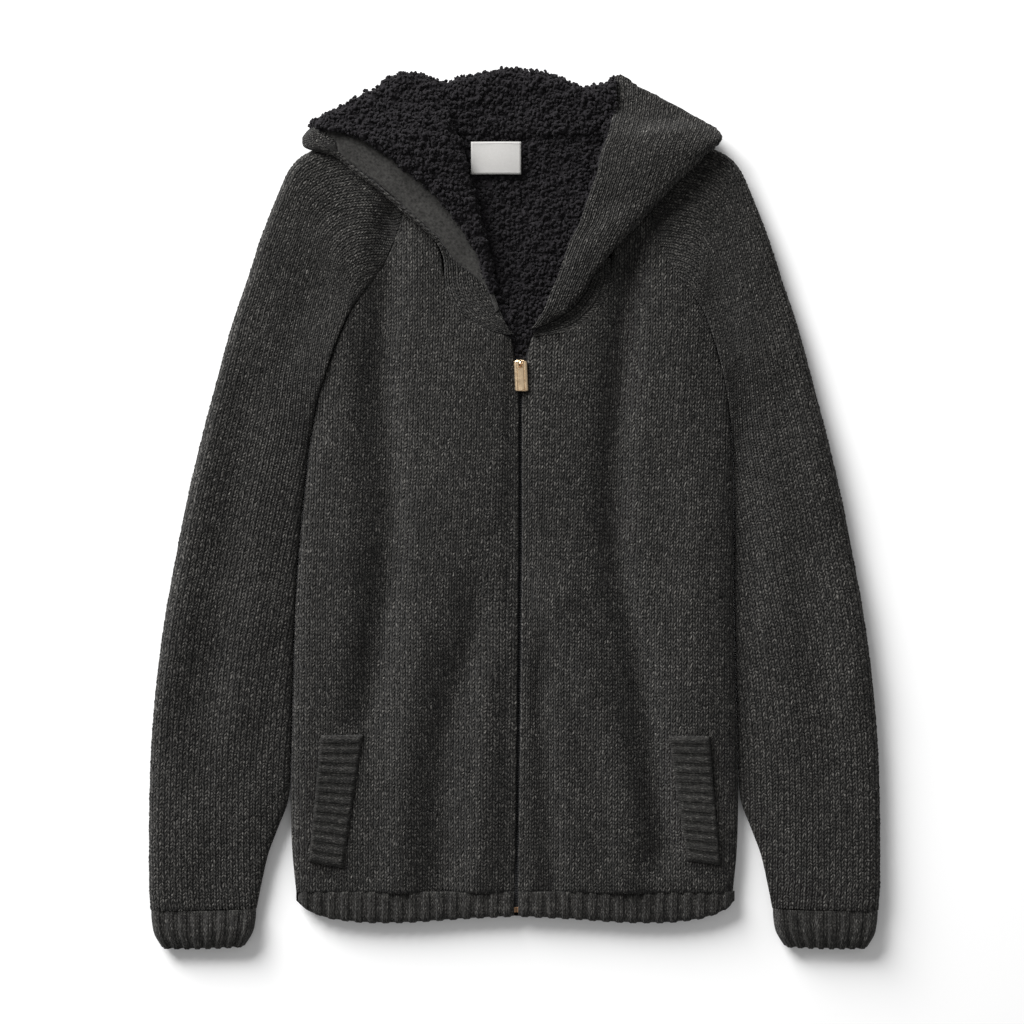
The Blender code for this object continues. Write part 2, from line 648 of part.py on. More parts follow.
def neck_label(ground, woven, collection):
    """The woven label below the neck seam, bare."""
    x, y = LABEL_PLACE
    width, length, thickness = LABEL_SIZE
    across = np.linspace(x - width / 2, x + width / 2, 5)
    ups = np.linspace(y - length / 2, y + length / 2, 4)
    flat = np.array([[(place, up) for place in across] for up in ups])
    lower = np.array([[ground.height(px, py, 6.0) for px, py in row] for row in flat]) + SEAM
    return wall("neck_label", raised(flat, lower + thickness), raised(flat, lower), woven, collection)


def seam_inside(side, index):
    """A point of the neckline, moved just inside the neck hole."""
    x, y = NECKLINE[index]
    return side * (x - 1.5 * SEAM) + lean(y), y + SEAM


def zip_corner(side):
    """Where the neckline meets the zip's edge."""
    inset, y = ZIP_CORNER
    return zip_x(ZIP_TOP_Y) + side * (ZIP_TOP_HALF_GAP + inset), y


def right_flap_rows():
    """The right half's rows from its top to the foot of the zip opening: crease, outer edge, on the body or sewn in."""
    rows = [((row.x_crease, row.y_crease), (row.x_edge, row.y_edge), 1.0) for row in RIGHT_FLAP]
    last = len(RIGHT_CREASE) - 1
    for index, crease in enumerate(RIGHT_CREASE):
        rows.append((crease, zip_corner(-1) if index == last else seam_inside(-1, last - 1 - index), 0.0))
    return rows


def hood_right(ground, hole, cloth, pile, plain, collection):
    """The right half of the hood: its knit lies on the shoulder, with the pile and a plain facing on top."""
    rows = right_flap_rows()
    across = [0, 0.05, 0.18, 0.34, 0.5, 0.66, 0.82, 0.95, 1]
    flat = plan([row[0] for row in rows], [row[1] for row in rows], across)
    lower = np.zeros(flat.shape[:2])
    for index, row in enumerate(flat):
        over_body = rows[index][2]
        for column, (x, y) in enumerate(row):
            if over_body:
                lower[index, column] = ground.height(x, y, 15.0)
            else:
                lower[index, column] = hole.height(x, y, 8.0)
    on_body = len(RIGHT_FLAP)
    lower[:on_body] = softened(lower[:on_body])
    lower[lower > 0] += SEAM
    thick = np.full(lower.shape, HOOD_WALL)
    thick[:on_body, -1] = HOOD_LIP
    lower[on_body:, -1] = np.maximum(lower[on_body:, -1], HOOD_RIM_Z)
    upper = lower + thick
    shell = wall("hood_right", raised(flat, upper), raised(flat, lower), cloth, collection)

    count = on_body + 1
    edge_share = [row.reach for row in RIGHT_FLAP] + [SEWN_REACH]
    band_share = [row.facing for row in RIGHT_FLAP] + [SEWN_FACING]
    surface = Ground([shell])
    lofts = [row.lining for row in RIGHT_FLAP] + [SEWN_LOFT]
    starts = [row[0] for row in rows[:count]]
    ends = [np.array(row[0]) + (np.array(row[1]) - row[0]) * edge for row, edge in zip(rows, edge_share)]
    turns = [np.array(a) + (np.array(b) - a) * (1 - band) for a, b, band in zip(starts, ends, band_share)]
    pile_flat = plan(starts, turns, [0, 0.03, 0.1, 0.24, 0.4, 0.56, 0.72, 0.86, 0.95, 1])
    pile_lower = np.array([[surface.height(x, y, 13.0) for x, y in row] for row in pile_flat]) + SEAM
    shape = np.array([0.35, 0.6, 0.85, 1.0, 1.05, 1.05, 1.0, 0.95, 0.8, 0.4])
    pile_upper = pile_lower + np.array(lofts)[:, None] * shape[None, :]
    pile_upper[0] -= 0.45 * (pile_upper[0] - pile_lower[0])
    lining = wall("hood_right_lining", raised(pile_flat, pile_upper), raised(pile_flat, pile_lower), pile, collection)

    band_starts = []
    for start, turn in list(zip(starts, turns))[FIRST_FACED:]:
        way = np.array(turn) - start
        band_starts.append(turn + way / np.linalg.norm(way) * 2 * SEAM)
    band_flat = plan(band_starts, ends[FIRST_FACED:], [0, 0.12, 0.5, 0.88, 1])
    band_lower = np.array([[surface.height(x, y, 14.0) for x, y in row] for row in band_flat]) + SEAM
    band_thick = FACING_WALL * np.array([0.9, 1.0, 1.0, 1.0, 0.5])
    band_upper = band_lower + band_thick[None, :]
    facing = wall("hood_facing", raised(band_flat, band_upper), raised(band_flat, band_lower), plain, collection)
    return [shell, lining, facing]


def hood_back(cloth, pile, collection):
    """The hood's centre, behind the neck: the knit on the surface and the pile over it."""
    shares = [0, 0.04, 0.16, 0.32, 0.48, 0.64, 0.8, 0.94, 1]
    ups = [0, 0.06, 0.3, 0.6, 0.85, 0.96, 1]
    built = []
    for name, (low, high), inset, finish_material in (
        ("hood_back", HOOD_BACK_Z, 4.0, cloth),
        ("hood_back_lining", HOOD_PILE_Z, 0.0, pile),
    ):
        upper, lower = [], []
        for up in ups:
            for_upper, for_lower = [], []
            for share in shares:
                top_x = float(np.interp(share, (0, 1), HOOD_TOP_ENDS))
                top_y = read(HOOD_TOP, top_x) - inset
                x = float(np.interp(share, (0, 1), HOOD_FOOT_ENDS))
                x += (top_x - x) * up
                y = NECK_SEAM_Y + (top_y - NECK_SEAM_Y) * up
                edge = min(rounded(min(share, 1 - share) * 130, 9), rounded((1 - up) * 50, 9), 1.0)
                edge = min(edge, 0.5 + 0.5 * rounded(up * 50, 9))
                middle = low + 0.35 * (high - low)
                for_upper.append((x, y, middle + (high - middle) * max(0.12, edge)))
                for_lower.append((x, y, low))
            upper.append(for_upper)
            lower.append(for_lower)
        built.append(wall(name, np.array(upper), np.array(lower), finish_material, collection))
    return built


def hood_base(ground, cloth, collection):
    """The left half's lowest strip, sewn along the neckline and hidden further in by the folded half."""
    starts = [seam_inside(1, index) for index in range(len(NECKLINE) - 1)]
    starts.insert(0, zip_corner(1))
    flat = plan(starts, LEFT_CREASE, [0, 0.12, 0.5, 0.88, 1])
    lower = np.array([[ground.height(x, y, 14.0) for x, y in row] for row in flat]) + SEAM
    thick = np.array([3.4, 3.8, 3.8, 3.4, 2.4])
    return wall("hood_base_left", raised(flat, lower + thick), raised(flat, lower), cloth, collection)


def hood_left(ground, cloth, pile, collection):
    """The left half of the hood, folded over with its knit up, and the pile layers between as one rounded solid."""
    upper_shares = [0.0, 0.05, 0.18, 0.32, 0.46, 0.58]
    outer, inner, pile_top, pile_bottom = [], [], [], []
    spots = upper_shares + [0.7, 0.85, 1.0]
    flat = plan([row[:2] for row in LEFT_FLAP], [row[2:4] for row in LEFT_FLAP], spots)
    floors = softened(np.array([[ground.height(x, y, 16.0) for x, y in row] for row in flat]), 3)
    floors[floors > 0] += SEAM
    for index, row in enumerate(LEFT_FLAP):
        start, end = np.array(row[:2]), np.array(row[2:4])
        width = float(np.linalg.norm(end - start))
        thick = min(4.5, 0.17 * width)
        half, turn = row.height / 2, min(row.height / 2, 0.36 * width)
        last = 1 - 2.2 * thick / width

        def at(share, height):
            return (*(start + (end - start) * share), height)

        def floor_at(share):
            return float(np.interp(share, spots, floors[index]))

        def top_at(share):
            crown = 1 + 0.06 * math.sin(math.pi * share)
            free = 0.86 + 0.14 * rounded(share * width, 9)
            rise = row.height * crown * free - half
            return floor_at(share) + half + rise * rounded((1 - share) * width, turn)

        uppers = upper_shares + [last]
        edge = floor_at(1.0) + half
        outer_row = [at(share, top_at(share)) for share in uppers]
        inner_row = [at(share, top_at(share) - thick) for share in uppers]
        for lift in (0.66, 0.0, -0.66):
            outer_row.append(at(1 - abs(lift) * 0.38 * turn / width, edge + lift * half))
            inner_row.append(at(1 - (1 + 0.5 * abs(lift)) * thick / width, edge + 0.4 * lift * (half - thick)))
        for share in (last, 0.46, 0.24):
            outer_row.append(at(share, floor_at(share)))
            inner_row.append(at(share, floor_at(share) + thick))
        outer.append(outer_row)
        inner.append(inner_row)
        shares = [0.03, 0.05, 0.24, 0.46, last - 0.02]
        soft = [0.6, 1.0, 1.0, 1.0, 0.7]
        lows = [floor_at(share) + thick + LAYER_GAP for share in shares]
        highs = [top_at(share) - thick - LAYER_GAP for share in shares]
        pile_bottom.append([at(share, low) for share, low in zip(shares, lows)])
        pile_top.append([at(share, low + (high - low) * part) for share, low, high, part in zip(shares, lows, highs, soft)])
    shell = wall("hood_left", np.array(outer), np.array(inner), cloth, collection)
    lining = wall("hood_left_lining", np.array(pile_top), np.array(pile_bottom), pile, collection)
    return [shell, lining]


def zip_tape(side, tape, collection):
    """One woven tape, under the front's edge from the hem to the neck."""
    rows = [(y, CHAIN_HALF_WIDTH + SEAM) for y in (-371, -300, -175, -40, 60, 124)]
    rows += [(136, 3.6), (ZIP_TOP_Y - 1.5, ZIP_TOP_HALF_GAP - 1.8)]
    starts = [(zip_x(y) + side * near, y) for y, near in rows]
    ends = [(zip_x(y) + side * (near + TAPE_WIDTH), y) for y, near in rows]
    flat = plan(starts, ends, [0, 0.5, 1])
    lower, upper = np.full(flat.shape[:2], TAPE_Z[0]), np.full(flat.shape[:2], TAPE_Z[1])
    name = "zip_tape_right" if side < 0 else "zip_tape_left"
    return wall(name, raised(flat, upper), raised(flat, lower), tape, collection)


def zip_chain(tape, collection):
    """The closed row of teeth, as one plain bar."""
    ys = (CHAIN_ENDS[0], -300, -175, -40, 60, CHAIN_ENDS[1])
    starts = [(zip_x(y) - CHAIN_HALF_WIDTH, y) for y in ys]
    ends = [(zip_x(y) + CHAIN_HALF_WIDTH, y) for y in ys]
    flat = plan(starts, ends, [0, 0.25, 0.75, 1])
    lower = np.full(flat.shape[:2], CHAIN_Z[0])
    upper = np.full(flat.shape[:2], CHAIN_Z[1])
    upper[:, (0, -1)] -= 0.8
    return wall("zip_chain", raised(flat, upper), raised(flat, lower), tape, collection)


def block(name, centre, size, bevel, finish_material, collection):
    """A box with rounded edges, placed by its middle."""
    mesh = bpy.data.meshes.new(name)
    work = bmesh.new()
    bmesh.ops.create_cube(work, size=1.0)
    bmesh.ops.scale(work, vec=Vector(size) * MM, verts=work.verts)
    bmesh.ops.translate(work, vec=Vector(centre) * MM, verts=work.verts)
    bmesh.ops.bevel(work, geom=work.edges[:], offset=bevel * MM, segments=2, affect="EDGES", profile=0.5)
    work.to_mesh(mesh)
    work.free()
    return finish(mesh, name, finish_material, collection)


def bar(name, points, radius, finish_material, collection, closed=False):
    """A round wire along a route, as a mesh."""
    curve = bpy.data.curves.new(name, "CURVE")
    curve.dimensions = "3D"
    curve.bevel_depth = radius * MM
    curve.bevel_resolution = 2
    curve.use_fill_caps = not closed
    line = curve.splines.new("POLY")
    line.points.add(len(points) - 1)
    for spot, point in zip(line.points, points):
        spot.co = (*(Vector(point) * MM), 1.0)
    line.use_cyclic_u = closed
    guide = bpy.data.objects.new(name + "_guide", curve)
    collection.objects.link(guide)
    bpy.context.view_layer.update()
    mesh = bpy.data.meshes.new_from_object(guide.evaluated_get(bpy.context.evaluated_depsgraph_get()))
    bpy.data.objects.remove(guide)
    work = bmesh.new()
    work.from_mesh(mesh)
    bmesh.ops.remove_doubles(work, verts=work.verts, dist=0.00001)
    work.to_mesh(mesh)
    work.free()
    mesh.materials.clear()
    return finish(mesh, name, finish_material, collection)


def combined(keeper, others, operation="UNION"):
    """Joins closed meshes to the first one, or takes them out of it, by Booleans, and removes them."""
    for other in others:
        step = keeper.modifiers.new("combine", "BOOLEAN")
        step.operation = operation
        step.solver = "EXACT"
        step.object = other
    bpy.context.view_layer.update()
    mesh = bpy.data.meshes.new_from_object(keeper.evaluated_get(bpy.context.evaluated_depsgraph_get()))
    keeper.modifiers.clear()
    keeper.data = mesh
    for other in others:
        bpy.data.objects.remove(other)
    return keeper


def zip_slider(metal, collection):
    """The slider's body over the tapes, with the bridge that the pull hangs on."""
    x = zip_x(SLIDER_Y)
    body = block("zip_slider", (x, SLIDER_Y - 2.0, SLIDER_Z), SLIDER_SIZE, 1.0, metal, collection)
    foot_z = PULL_PIVOT_Z - 4.0
    arch = []
    for turn in range(9):
        angle = math.pi * turn / 8
        arch.append((x, SLIDER_Y + BRIDGE_REACH * math.cos(angle), foot_z + BRIDGE_HEIGHT * math.sin(angle)))
    bridge = bar("bridge", arch, BRIDGE_WIRE, metal, collection)
    return combined(body, [bridge])


def zip_pull(metal, collection):
    """The pull lying down on the front: a fluted bar whose slotted end holds a pin under the bridge."""
    pivot_x = zip_x(SLIDER_Y)
    bottom, top = PULL_ENDS
    sections = [(bottom, 0.88), (bottom + 0.7, 1.0), (top - 0.7, 1.0), (top, 0.88)]
    vertices = []
    for y, size in sections:
        x = pivot_x + (SLIDER_Y - y) * PULL_LEAN
        vertices += [(x + px * size, y, PULL_PIVOT_Z + pz * size) for px, pz in PULL_PROFILE]
    count = len(PULL_PROFILE)
    faces = [tuple(range(count)), tuple(reversed(range(len(vertices) - count, len(vertices))))]
    for ring in range(len(sections) - 1):
        for index in range(count):
            here, beside = ring * count + index, ring * count + (index + 1) % count
            faces.append((here, here + count, beside + count, beside))
    mesh = bpy.data.meshes.new("zip_pull")
    mesh.from_pydata([tuple(value * MM for value in vertex) for vertex in vertices], [], faces)
    tab = finish(mesh, "zip_pull", metal, collection)
    slot_width, slot_length = PULL_SLOT
    slot_centre = (pivot_x, top - slot_length / 2 + 1.0, PULL_PIVOT_Z)
    slot = block("slot", slot_centre, (slot_width, slot_length + 2.0, 8.0), 0.3, metal, collection)
    hollow_aside, hollow_radius = PULL_HOLLOW
    end_x = pivot_x + (SLIDER_Y - bottom) * PULL_LEAN + hollow_aside
    route = [(end_x, bottom - 0.9, PULL_PIVOT_Z - 1.2), (end_x, bottom - 0.9, PULL_PIVOT_Z + 4.0)]
    hollow = bar("hollow", route, hollow_radius, metal, collection)
    combined(tab, [slot, hollow], "DIFFERENCE")
    reach = slot_width / 2 + 1.0
    pin_route = [(pivot_x - reach, SLIDER_Y, PULL_PIVOT_Z), (pivot_x + reach, SLIDER_Y, PULL_PIVOT_Z)]
    return combined(tab, [bar("pin", pin_route, PULL_PIN, metal, collection)])


def zip_stop(side, metal, collection):
    """One metal stop at the foot of the zip."""
    name = "zip_stop_right" if side < 0 else "zip_stop_left"
    aside, y, z = STOP_PLACE
    return block(name, (zip_x(y) + side * aside, y, z), STOP_SIZE, 0.5, metal, collection)


def main():
    for thing in list(bpy.data.objects):
        bpy.data.objects.remove(thing)
    collection = bpy.data.collections.new("hoodie")
    bpy.context.scene.collection.children.link(collection)

    cloth = material("charcoal_knit", (0.045, 0.044, 0.043), 0.95)
    rib_cloth = material("charcoal_rib", (0.04, 0.039, 0.038), 0.95)
    pile = material("black_pile", (0.014, 0.013, 0.015), 1.0)
    plain = material("plain_facing", (0.035, 0.035, 0.035), 0.9)
    tape = material("zip_tape", (0.01, 0.01, 0.01), 0.8)
    woven = material("woven_label", (0.8, 0.79, 0.76), 0.7)
    gold = material("pale_gold", (0.83, 0.66, 0.42), 0.35, 1.0)
    bronze = material("bronze", (0.32, 0.2, 0.12), 0.45, 1.0)

    back_piece = back(cloth, collection)
    body = [back_piece] + [front(side, cloth, collection) for side in (-1, 1)]
    sleeves = [sleeve(side, cloth, collection) for side in (-1, 1)]
    for side in (-1, 1):
        cuff(side, rib_cloth, collection)
        hem_front(side, rib_cloth, collection)
        zip_tape(side, tape, collection)
        zip_stop(side, bronze, collection)
    hem_back(rib_cloth, collection)
    zip_chain(tape, collection)
    zip_slider(gold, collection)
    zip_pull(gold, collection)
    on_body = Ground(body)
    for side in (-1, 1):
        pocket_welt(side, on_body, rib_cloth, collection)

    lining = neck_lining(pile, collection)
    neck_label(Ground([lining]), woven, collection)
    hole = Ground([back_piece, lining])
    everything = Ground(body + sleeves + [lining])
    hood_right(everything, hole, cloth, pile, plain, collection)
    hood_back(cloth, pile, collection)
    base = hood_base(hole, cloth, collection)
    hood_left(Ground(body + sleeves + [lining, base]), cloth, pile, collection)


main()
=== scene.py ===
"""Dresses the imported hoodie: chunky marled knit, curly pile, ribs, a plain facing, a gold pull.

All tables and sizes are in millimetres: x to the wearer's left, y towards the hood, z up from the
surface. A side is -1 for the wearer's right half and +1 for the left half.
"""

import logging
import math
from collections.abc import Iterable, Sequence
from dataclasses import dataclass, field
from enum import Enum

import bmesh
import bpy
import numpy as np
from bpy.types import Material, Node, NodeSocket, NodeTree, Object
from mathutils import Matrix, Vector, noise
from mathutils.bvhtree import BVHTree


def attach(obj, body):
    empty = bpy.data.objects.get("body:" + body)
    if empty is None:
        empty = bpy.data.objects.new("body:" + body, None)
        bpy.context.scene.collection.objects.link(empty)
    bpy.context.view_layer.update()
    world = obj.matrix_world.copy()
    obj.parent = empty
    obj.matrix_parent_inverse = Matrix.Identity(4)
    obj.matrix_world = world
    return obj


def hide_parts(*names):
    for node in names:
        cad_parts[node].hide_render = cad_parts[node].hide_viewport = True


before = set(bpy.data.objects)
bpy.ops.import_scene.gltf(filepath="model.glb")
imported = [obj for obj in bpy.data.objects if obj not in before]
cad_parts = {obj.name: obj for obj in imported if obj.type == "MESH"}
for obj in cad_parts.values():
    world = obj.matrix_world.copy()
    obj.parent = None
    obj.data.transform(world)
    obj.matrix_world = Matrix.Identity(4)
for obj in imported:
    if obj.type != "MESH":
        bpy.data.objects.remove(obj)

LOG = logging.getLogger("hoodie")
Array = np.ndarray
MM = 0.001
STITCHES = "stitches"
GARMENT = "garment"

# Sizes that the cloth shares with the solids
SIDE_SEAM_Z = 8.5
FRONT_LEVEL = 18.0
SIDE_ROLL = 9.0
ZIP_GAP = 1.8
ZIP_EDGE_LEVEL = 15.6
HEM_SEAM_Y = -353.0
HEM_TOP = 15.0
RIB_PITCH = 12.4
ZIP_FOOT_Y = -366.0
CHAIN_TOP_Y = 126.0
NECK_SEAM_Y = 345.0
ARMPIT_Y = 99.0
# The least height of what lies on the surface, and heights far below and above all cloth
LEAST = 0.2
BELOW, ABOVE = -100.0, 100.0

ZIP_LINE = [(-375, 1.5), (-175, 4.0), (-40, 5.3), (160, 5.5)]
LEAN = [
    (-83, 0.0), (-37, 2.0), (9, 4.0), (55, 6.0), (99, 7.4), (124, 9.0), (151, 10.0), (165, 11.0),
]
SIDE = [
    (-353, 201.5), (-318, 205.0), (-284, 206.3), (-249, 206.5), (-222, 205.8), (-194, 205.0),
    (-166, 204.3), (-138, 203.5), (-83, 202.0), (-37, 200.5), (9, 198.0), (55, 195.0), (99, 189.5),
]

# One sleeve along the raglan seam: front seam, outer fold, back seam, height, how far the seam
# edge rolls under
RAGLAN = [
    (114, 272, 81, 341, 56, 337, 17.0, 0), (119, 256, 112, 341, 84, 306, 18.0, 0),
    (125, 240, 143, 339, 108, 276, 18.5, 0), (133, 224, 168, 336, 126, 252, 19.0, 0),
    (144, 209, 189, 330, 142, 228, 19.5, 0), (155, 194, 206, 316, 156, 203, 20.0, 0),
    (164, 179, 220, 286, 166, 180, 20.5, 0), (175, 151, 234, 250, 176, 151, 21.0, 0),
    (183, 124, 246, 213, 183, 124, 21.5, 0), (189.5, 99, 261, 169, 189.5, 99, 22.0, 0.4),
]
# The same from the armpit to the cuff, where both seams lie together
BELOW_ARMPIT = [
    (195, 64, 276, 114, 23.0, 1), (198, 27, 289, 64, 23.0, 1), (200.5, -19, 302, 9, 22.5, 1),
    (202.2, -65, 312, -42, 22.0, 1), (203.9, -120, 322.5, -100, 22.0, 1),
    (205.3, -175, 330, -157, 21.5, 1), (206.8, -231, 335, -214, 21.0, 1),
    (208.7, -267, 336.7, -258, 20.5, 1), (218, -293, 337.2, -288, 20.0, 1),
    (227.3, -318, 337.2, -315, 19.5, 1), (233.5, -345, 337.2, -344, 18.5, 1),
    (238, -368, 336, -369, 17.5, 1),
]
SLEEVE = RAGLAN + [(*row[:4], *row[:2], *row[4:]) for row in BELOW_ARMPIT]

# Upper boundaries as distance out and y: the front's from the zip along the neckline, the back's
# from the middle, and both down the raglan seam
FRONT_TOP = [
    (1.8, 113), (5.4, 136), (9.5, 158), (37, 165), (56, 175), (70, 193), (75.5, 211), (78, 231),
    (88, 262), *[row[:2] for row in RAGLAN],
]
BACK_TOP = [(0, 342), (48, 342), *[row[4:6] for row in RAGLAN]]

# One cuff from the sleeve down: inner side, outer side, height
CUFF = [
    (238.5, -368.6, 335.5, -369.6, 16.5), (239, -378, 335, -379, 17.5),
    (241.5, -390, 332.5, -392, 17.0), (249, -402.5, 326, -404, 13.0),
]
HEM_EDGE = [
    (0, -375), (50, -377.5), (110, -381), (150, -380), (180, -374.5), (194, -368), (201.5, -361),
]

# Folds: route as y and x, half width, rise, how softly the ends fade
FOLDS = [
    ([(257, -115), (110, -123), (18, -115), (-56, -118), (-120, -126), (-185, -136)],
     18, -11.5, 60),
    ([(220, 108), (110, 97), (18, 92), (-65, 97), (-134, 112), (-200, 121), (-310, 136)],
     16, -12.0, 40),
    ([(150, -45), (-50, -42)], 36, 3.0, 60),
    ([(150, 58), (-60, 60)], 24, 2.6, 60),
    ([(160, -155), (-110, -155)], 18, 3.4, 60),
    ([(200, 152), (40, 165), (-110, 165), (-200, 170)], 24, 5.0, 60),
    ([(-110, -36), (-212, -64), (-330, -69)], 17, -7.0, 90),
    ([(-120, -84), (-230, -100), (-341, -105)], 17, 5.0, 50),
    ([(-165, -23), (-330, -32)], 12, 4.2, 40),
    ([(-170, 24), (-330, 33)], 14, -6.0, 80),
    ([(-90, 42), (-175, 78), (-258, 101), (-331, 106)], 18, 5.5, 50),
]
SLEEVE_FOLDS = [
    ([(200, 190), (130, 208), (60, 214), (-60, 220)], 16, -2.4, 50),
    ([(92, 243), (-65, 262), (-157, 280), (-240, 286)], 22, -4.0, 60),
    ([(110, 206), (9, 213), (-102, 225)], 17, 2.6, 45),
    ([(60, 275), (-60, 300), (-160, 312)], 14, 2.6, 45),
    ([(-210, 240), (-300, 268), (-350, 282)], 20, -3.0, 35),
]

# The hood's opened right half: inner crease, the pile's edge, the facing's outer edge and the
# knit's edge, as x and y
OPENED_HALF = [
    (-68.5, 391.5, -84, 398.5, -83, 396, -84, 397), (-65, 377, -105.5, 400, -103, 397, -104.5, 398),
    (-61, 366, -127.5, 386, -125, 383, -126.5, 384),
    (-57.5, 354.5, -154, 371.5, -151, 369, -153, 370),
    (-54, 342.5, -179, 358.5, -176, 356, -178, 357),
    (-51, 332.5, -184.5, 353.5, -181.5, 351, -193, 347.5),
    (-47.5, 319.5, -172, 350.5, -173.5, 346.5, -195.5, 341),
    (-43.5, 305, -153, 346.5, -163.5, 336.5, -191.5, 332),
    (-41, 294, -136.5, 340.5, -161, 327, -164.5, 324),
    (-38, 283, -116.5, 326.5, -144, 312.5, -147, 309.5),
    (-35.5, 272, -93.5, 309.5, -118, 293, -121, 290),
    (-32.5, 260, -71.5, 291.5, -94.5, 271.5, -97, 268.5),
    (-29, 246, -50, 264.5, -72, 250.5, -74.5, 248.5),
    (-25.5, 232.5, -34.5, 239.5, -54.5, 228.5, -57, 227),
    (-21.5, 218.5, -25.5, 215, -39, 215.5, -41, 213), (-18, 205.5, -19, 198.5, -26, 203, -28, 201),
]
LIP_FIRST, LIP_LAST = 5, 8
OPENED_ON_BODY = 13
# The strip of the hood inside the front neckline, down to the zip: inner edge, seam
RIGHT_STRIP = [
    (-27, 231, -65.5, 231), (-22.5, 212, -64, 211), (-18, 196, -58.5, 193), (-12, 180, -44.5, 175),
    (-6.5, 168, -25.5, 165), (-0.5, 161.5, -7, 160.6),
]
LEFT_STRIP = [
    (66, 233, 87.5, 231), (62, 219, 87, 211), (56, 206, 81.5, 192), (44, 193, 67.5, 173.5),
    (27, 179, 48, 163.5), (16, 168, 18, 159.6),
]
# The folded left half: free edge, outer fold, height
LEFT_FLAP = [
    (94, 401, 98.5, 401.5, 9.0), (92.3, 397.5, 105.5, 397.2, 12.5), (93.2, 389, 114, 390.2, 16.0),
    (92.8, 378, 128, 383.2, 19.5), (91.5, 366, 147.5, 372.5, 22.0), (88.5, 355, 170, 359.8, 24.0),
    (85, 341, 185.5, 350, 25.0), (80.5, 331, 190, 340.5, 25.0), (77.5, 319, 184.5, 333, 25.0),
    (75.5, 308, 171, 321.8, 25.0), (70, 293, 152, 303, 25.0), (65, 278, 134, 284.8, 24.0),
    (59, 261, 115.5, 264.5, 23.0), (50.5, 245, 97, 245.8, 21.5), (44, 226, 83.3, 229.5, 20.0),
    (38.5, 211, 72, 215, 18.0), (32.5, 197, 61.5, 199.5, 16.5), (26.5, 182, 48, 184, 14.5),
    (20, 172, 35, 175, 11.5), (14.5, 165, 21, 167.5, 7.0),
]
HOOD_TOP = [(-68.5, 391), (-36, 400), (14, 404.3), (42, 397), (62, 388), (74, 389), (86, 394)]
NECK_LINING = [
    (139, 8), (150, 14), (160, 20), (175, 42), (193, 60), (211, 69), (231, 72), (262, 80),
    (300, 78), (325, 76), (344.3, 74),
]

# Pocket welts: upper inner, upper outer, lower inner and lower outer corners
WELTS = {
    -1: ((-139.5, -207.5), (-178, -207.5), (-158, -330), (-189, -323.5)),
    1: ((142, -208), (179, -208), (159, -323), (189, -327)),
}
WELT_RIBS = 13


class Slot(Enum):
    """The material slots of the record."""

    KNIT = "charcoal_knit"
    RIB = "charcoal_rib"
    PILE = "black_pile"
    FACING = "plain_facing"
    TAPE = "zip_tape"
    LABEL = "woven_label"
    GOLD = "pale_gold"
    BRONZE = "bronze"


class Hold(Enum):
    """How a cloth piece is held."""

    LAID = "laid"
    FOLDED = "folded"


@dataclass(frozen=True)
class Gauge:
    """The size of a stitch: a wale's width, a course's height and how far it stands up."""

    wale: float
    course: float
    depth: float


BODY_GAUGE = Gauge(4.9, 3.8, 1.3)
SLEEVE_GAUGE = Gauge(5.2, 3.9, 1.5)
HOOD_GAUGE = Gauge(4.3, 3.4, 1.5)
RIB_GAUGE = Gauge(RIB_PITCH / 4, 3.6, 0.5)


def hermite(
    values: Array, slopes: Array, left: Array, t: Array, gap: Array | float = 1.0,
) -> Array:
    """A smooth curve between the rows at left and the rows after them.

    Args:
        values: the rows.
        slopes: their slopes.
        left: the row before each place.
        t: how far each place lies towards the next row, from 0 to 1.
        gap: the distance between both rows.

    Returns:
        The values there.
    """
    return (
        (2 * t**3 - 3 * t**2 + 1) * values[left] + (t**3 - 2 * t**2 + t) * gap * slopes[left]
        + (3 * t**2 - 2 * t**3) * values[left + 1] + (t**3 - t**2) * gap * slopes[left + 1]
    )


def through(table: Sequence[tuple[float, float]], at: Array) -> Array:
    """Reads a two-column table along a smooth curve.

    Args:
        table: rows of a place and its value.
        at: the places asked for.

    Returns:
        The values there.
    """
    rows = sorted(table)
    places = np.array([row[0] for row in rows], float)
    values = np.array([row[1] for row in rows], float)
    slopes = np.gradient(values, places)
    at = np.clip(at, places[0], places[-1])
    left = np.clip(np.searchsorted(places, at) - 1, 0, len(rows) - 2)
    gap = places[left + 1] - places[left]
    return hermite(values, slopes, left, (at - places[left]) / gap, gap)


def straight(table: Sequence[tuple[float, float]], at: Array) -> Array:
    """Reads a two-column table by straight lines between its rows."""
    rows = sorted(table)
    return np.interp(at, [row[0] for row in rows], [row[1] for row in rows])


def ease(value: Array) -> Array:
    """A smooth step from 0 to 1."""
    value = np.clip(value, 0.0, 1.0)
    return value * value * (3 - 2 * value)


def rounded(distance: Array, radius: float) -> Array:
    """The height of a quarter circle, as a share, at this distance in from a rolled edge."""
    return np.sqrt(np.maximum(0.0, 1 - (1 - np.clip(distance / radius, 0.0, 1.0)) ** 2))


def fold_relief(folds: Sequence[tuple], x: Array, y: Array) -> Array:
    """The height that a list of folds adds at each point."""
    total = np.zeros(np.broadcast(x, y).shape)
    for route, half_width, rise, fade in folds:
        ends = sorted(point[0] for point in route)
        along = ease((y - ends[0] + fade) / fade) * ease((ends[-1] + fade - y) / fade)
        total = total + rise * along * np.exp(-(((x - through(route, y)) / half_width) ** 2))
    return total


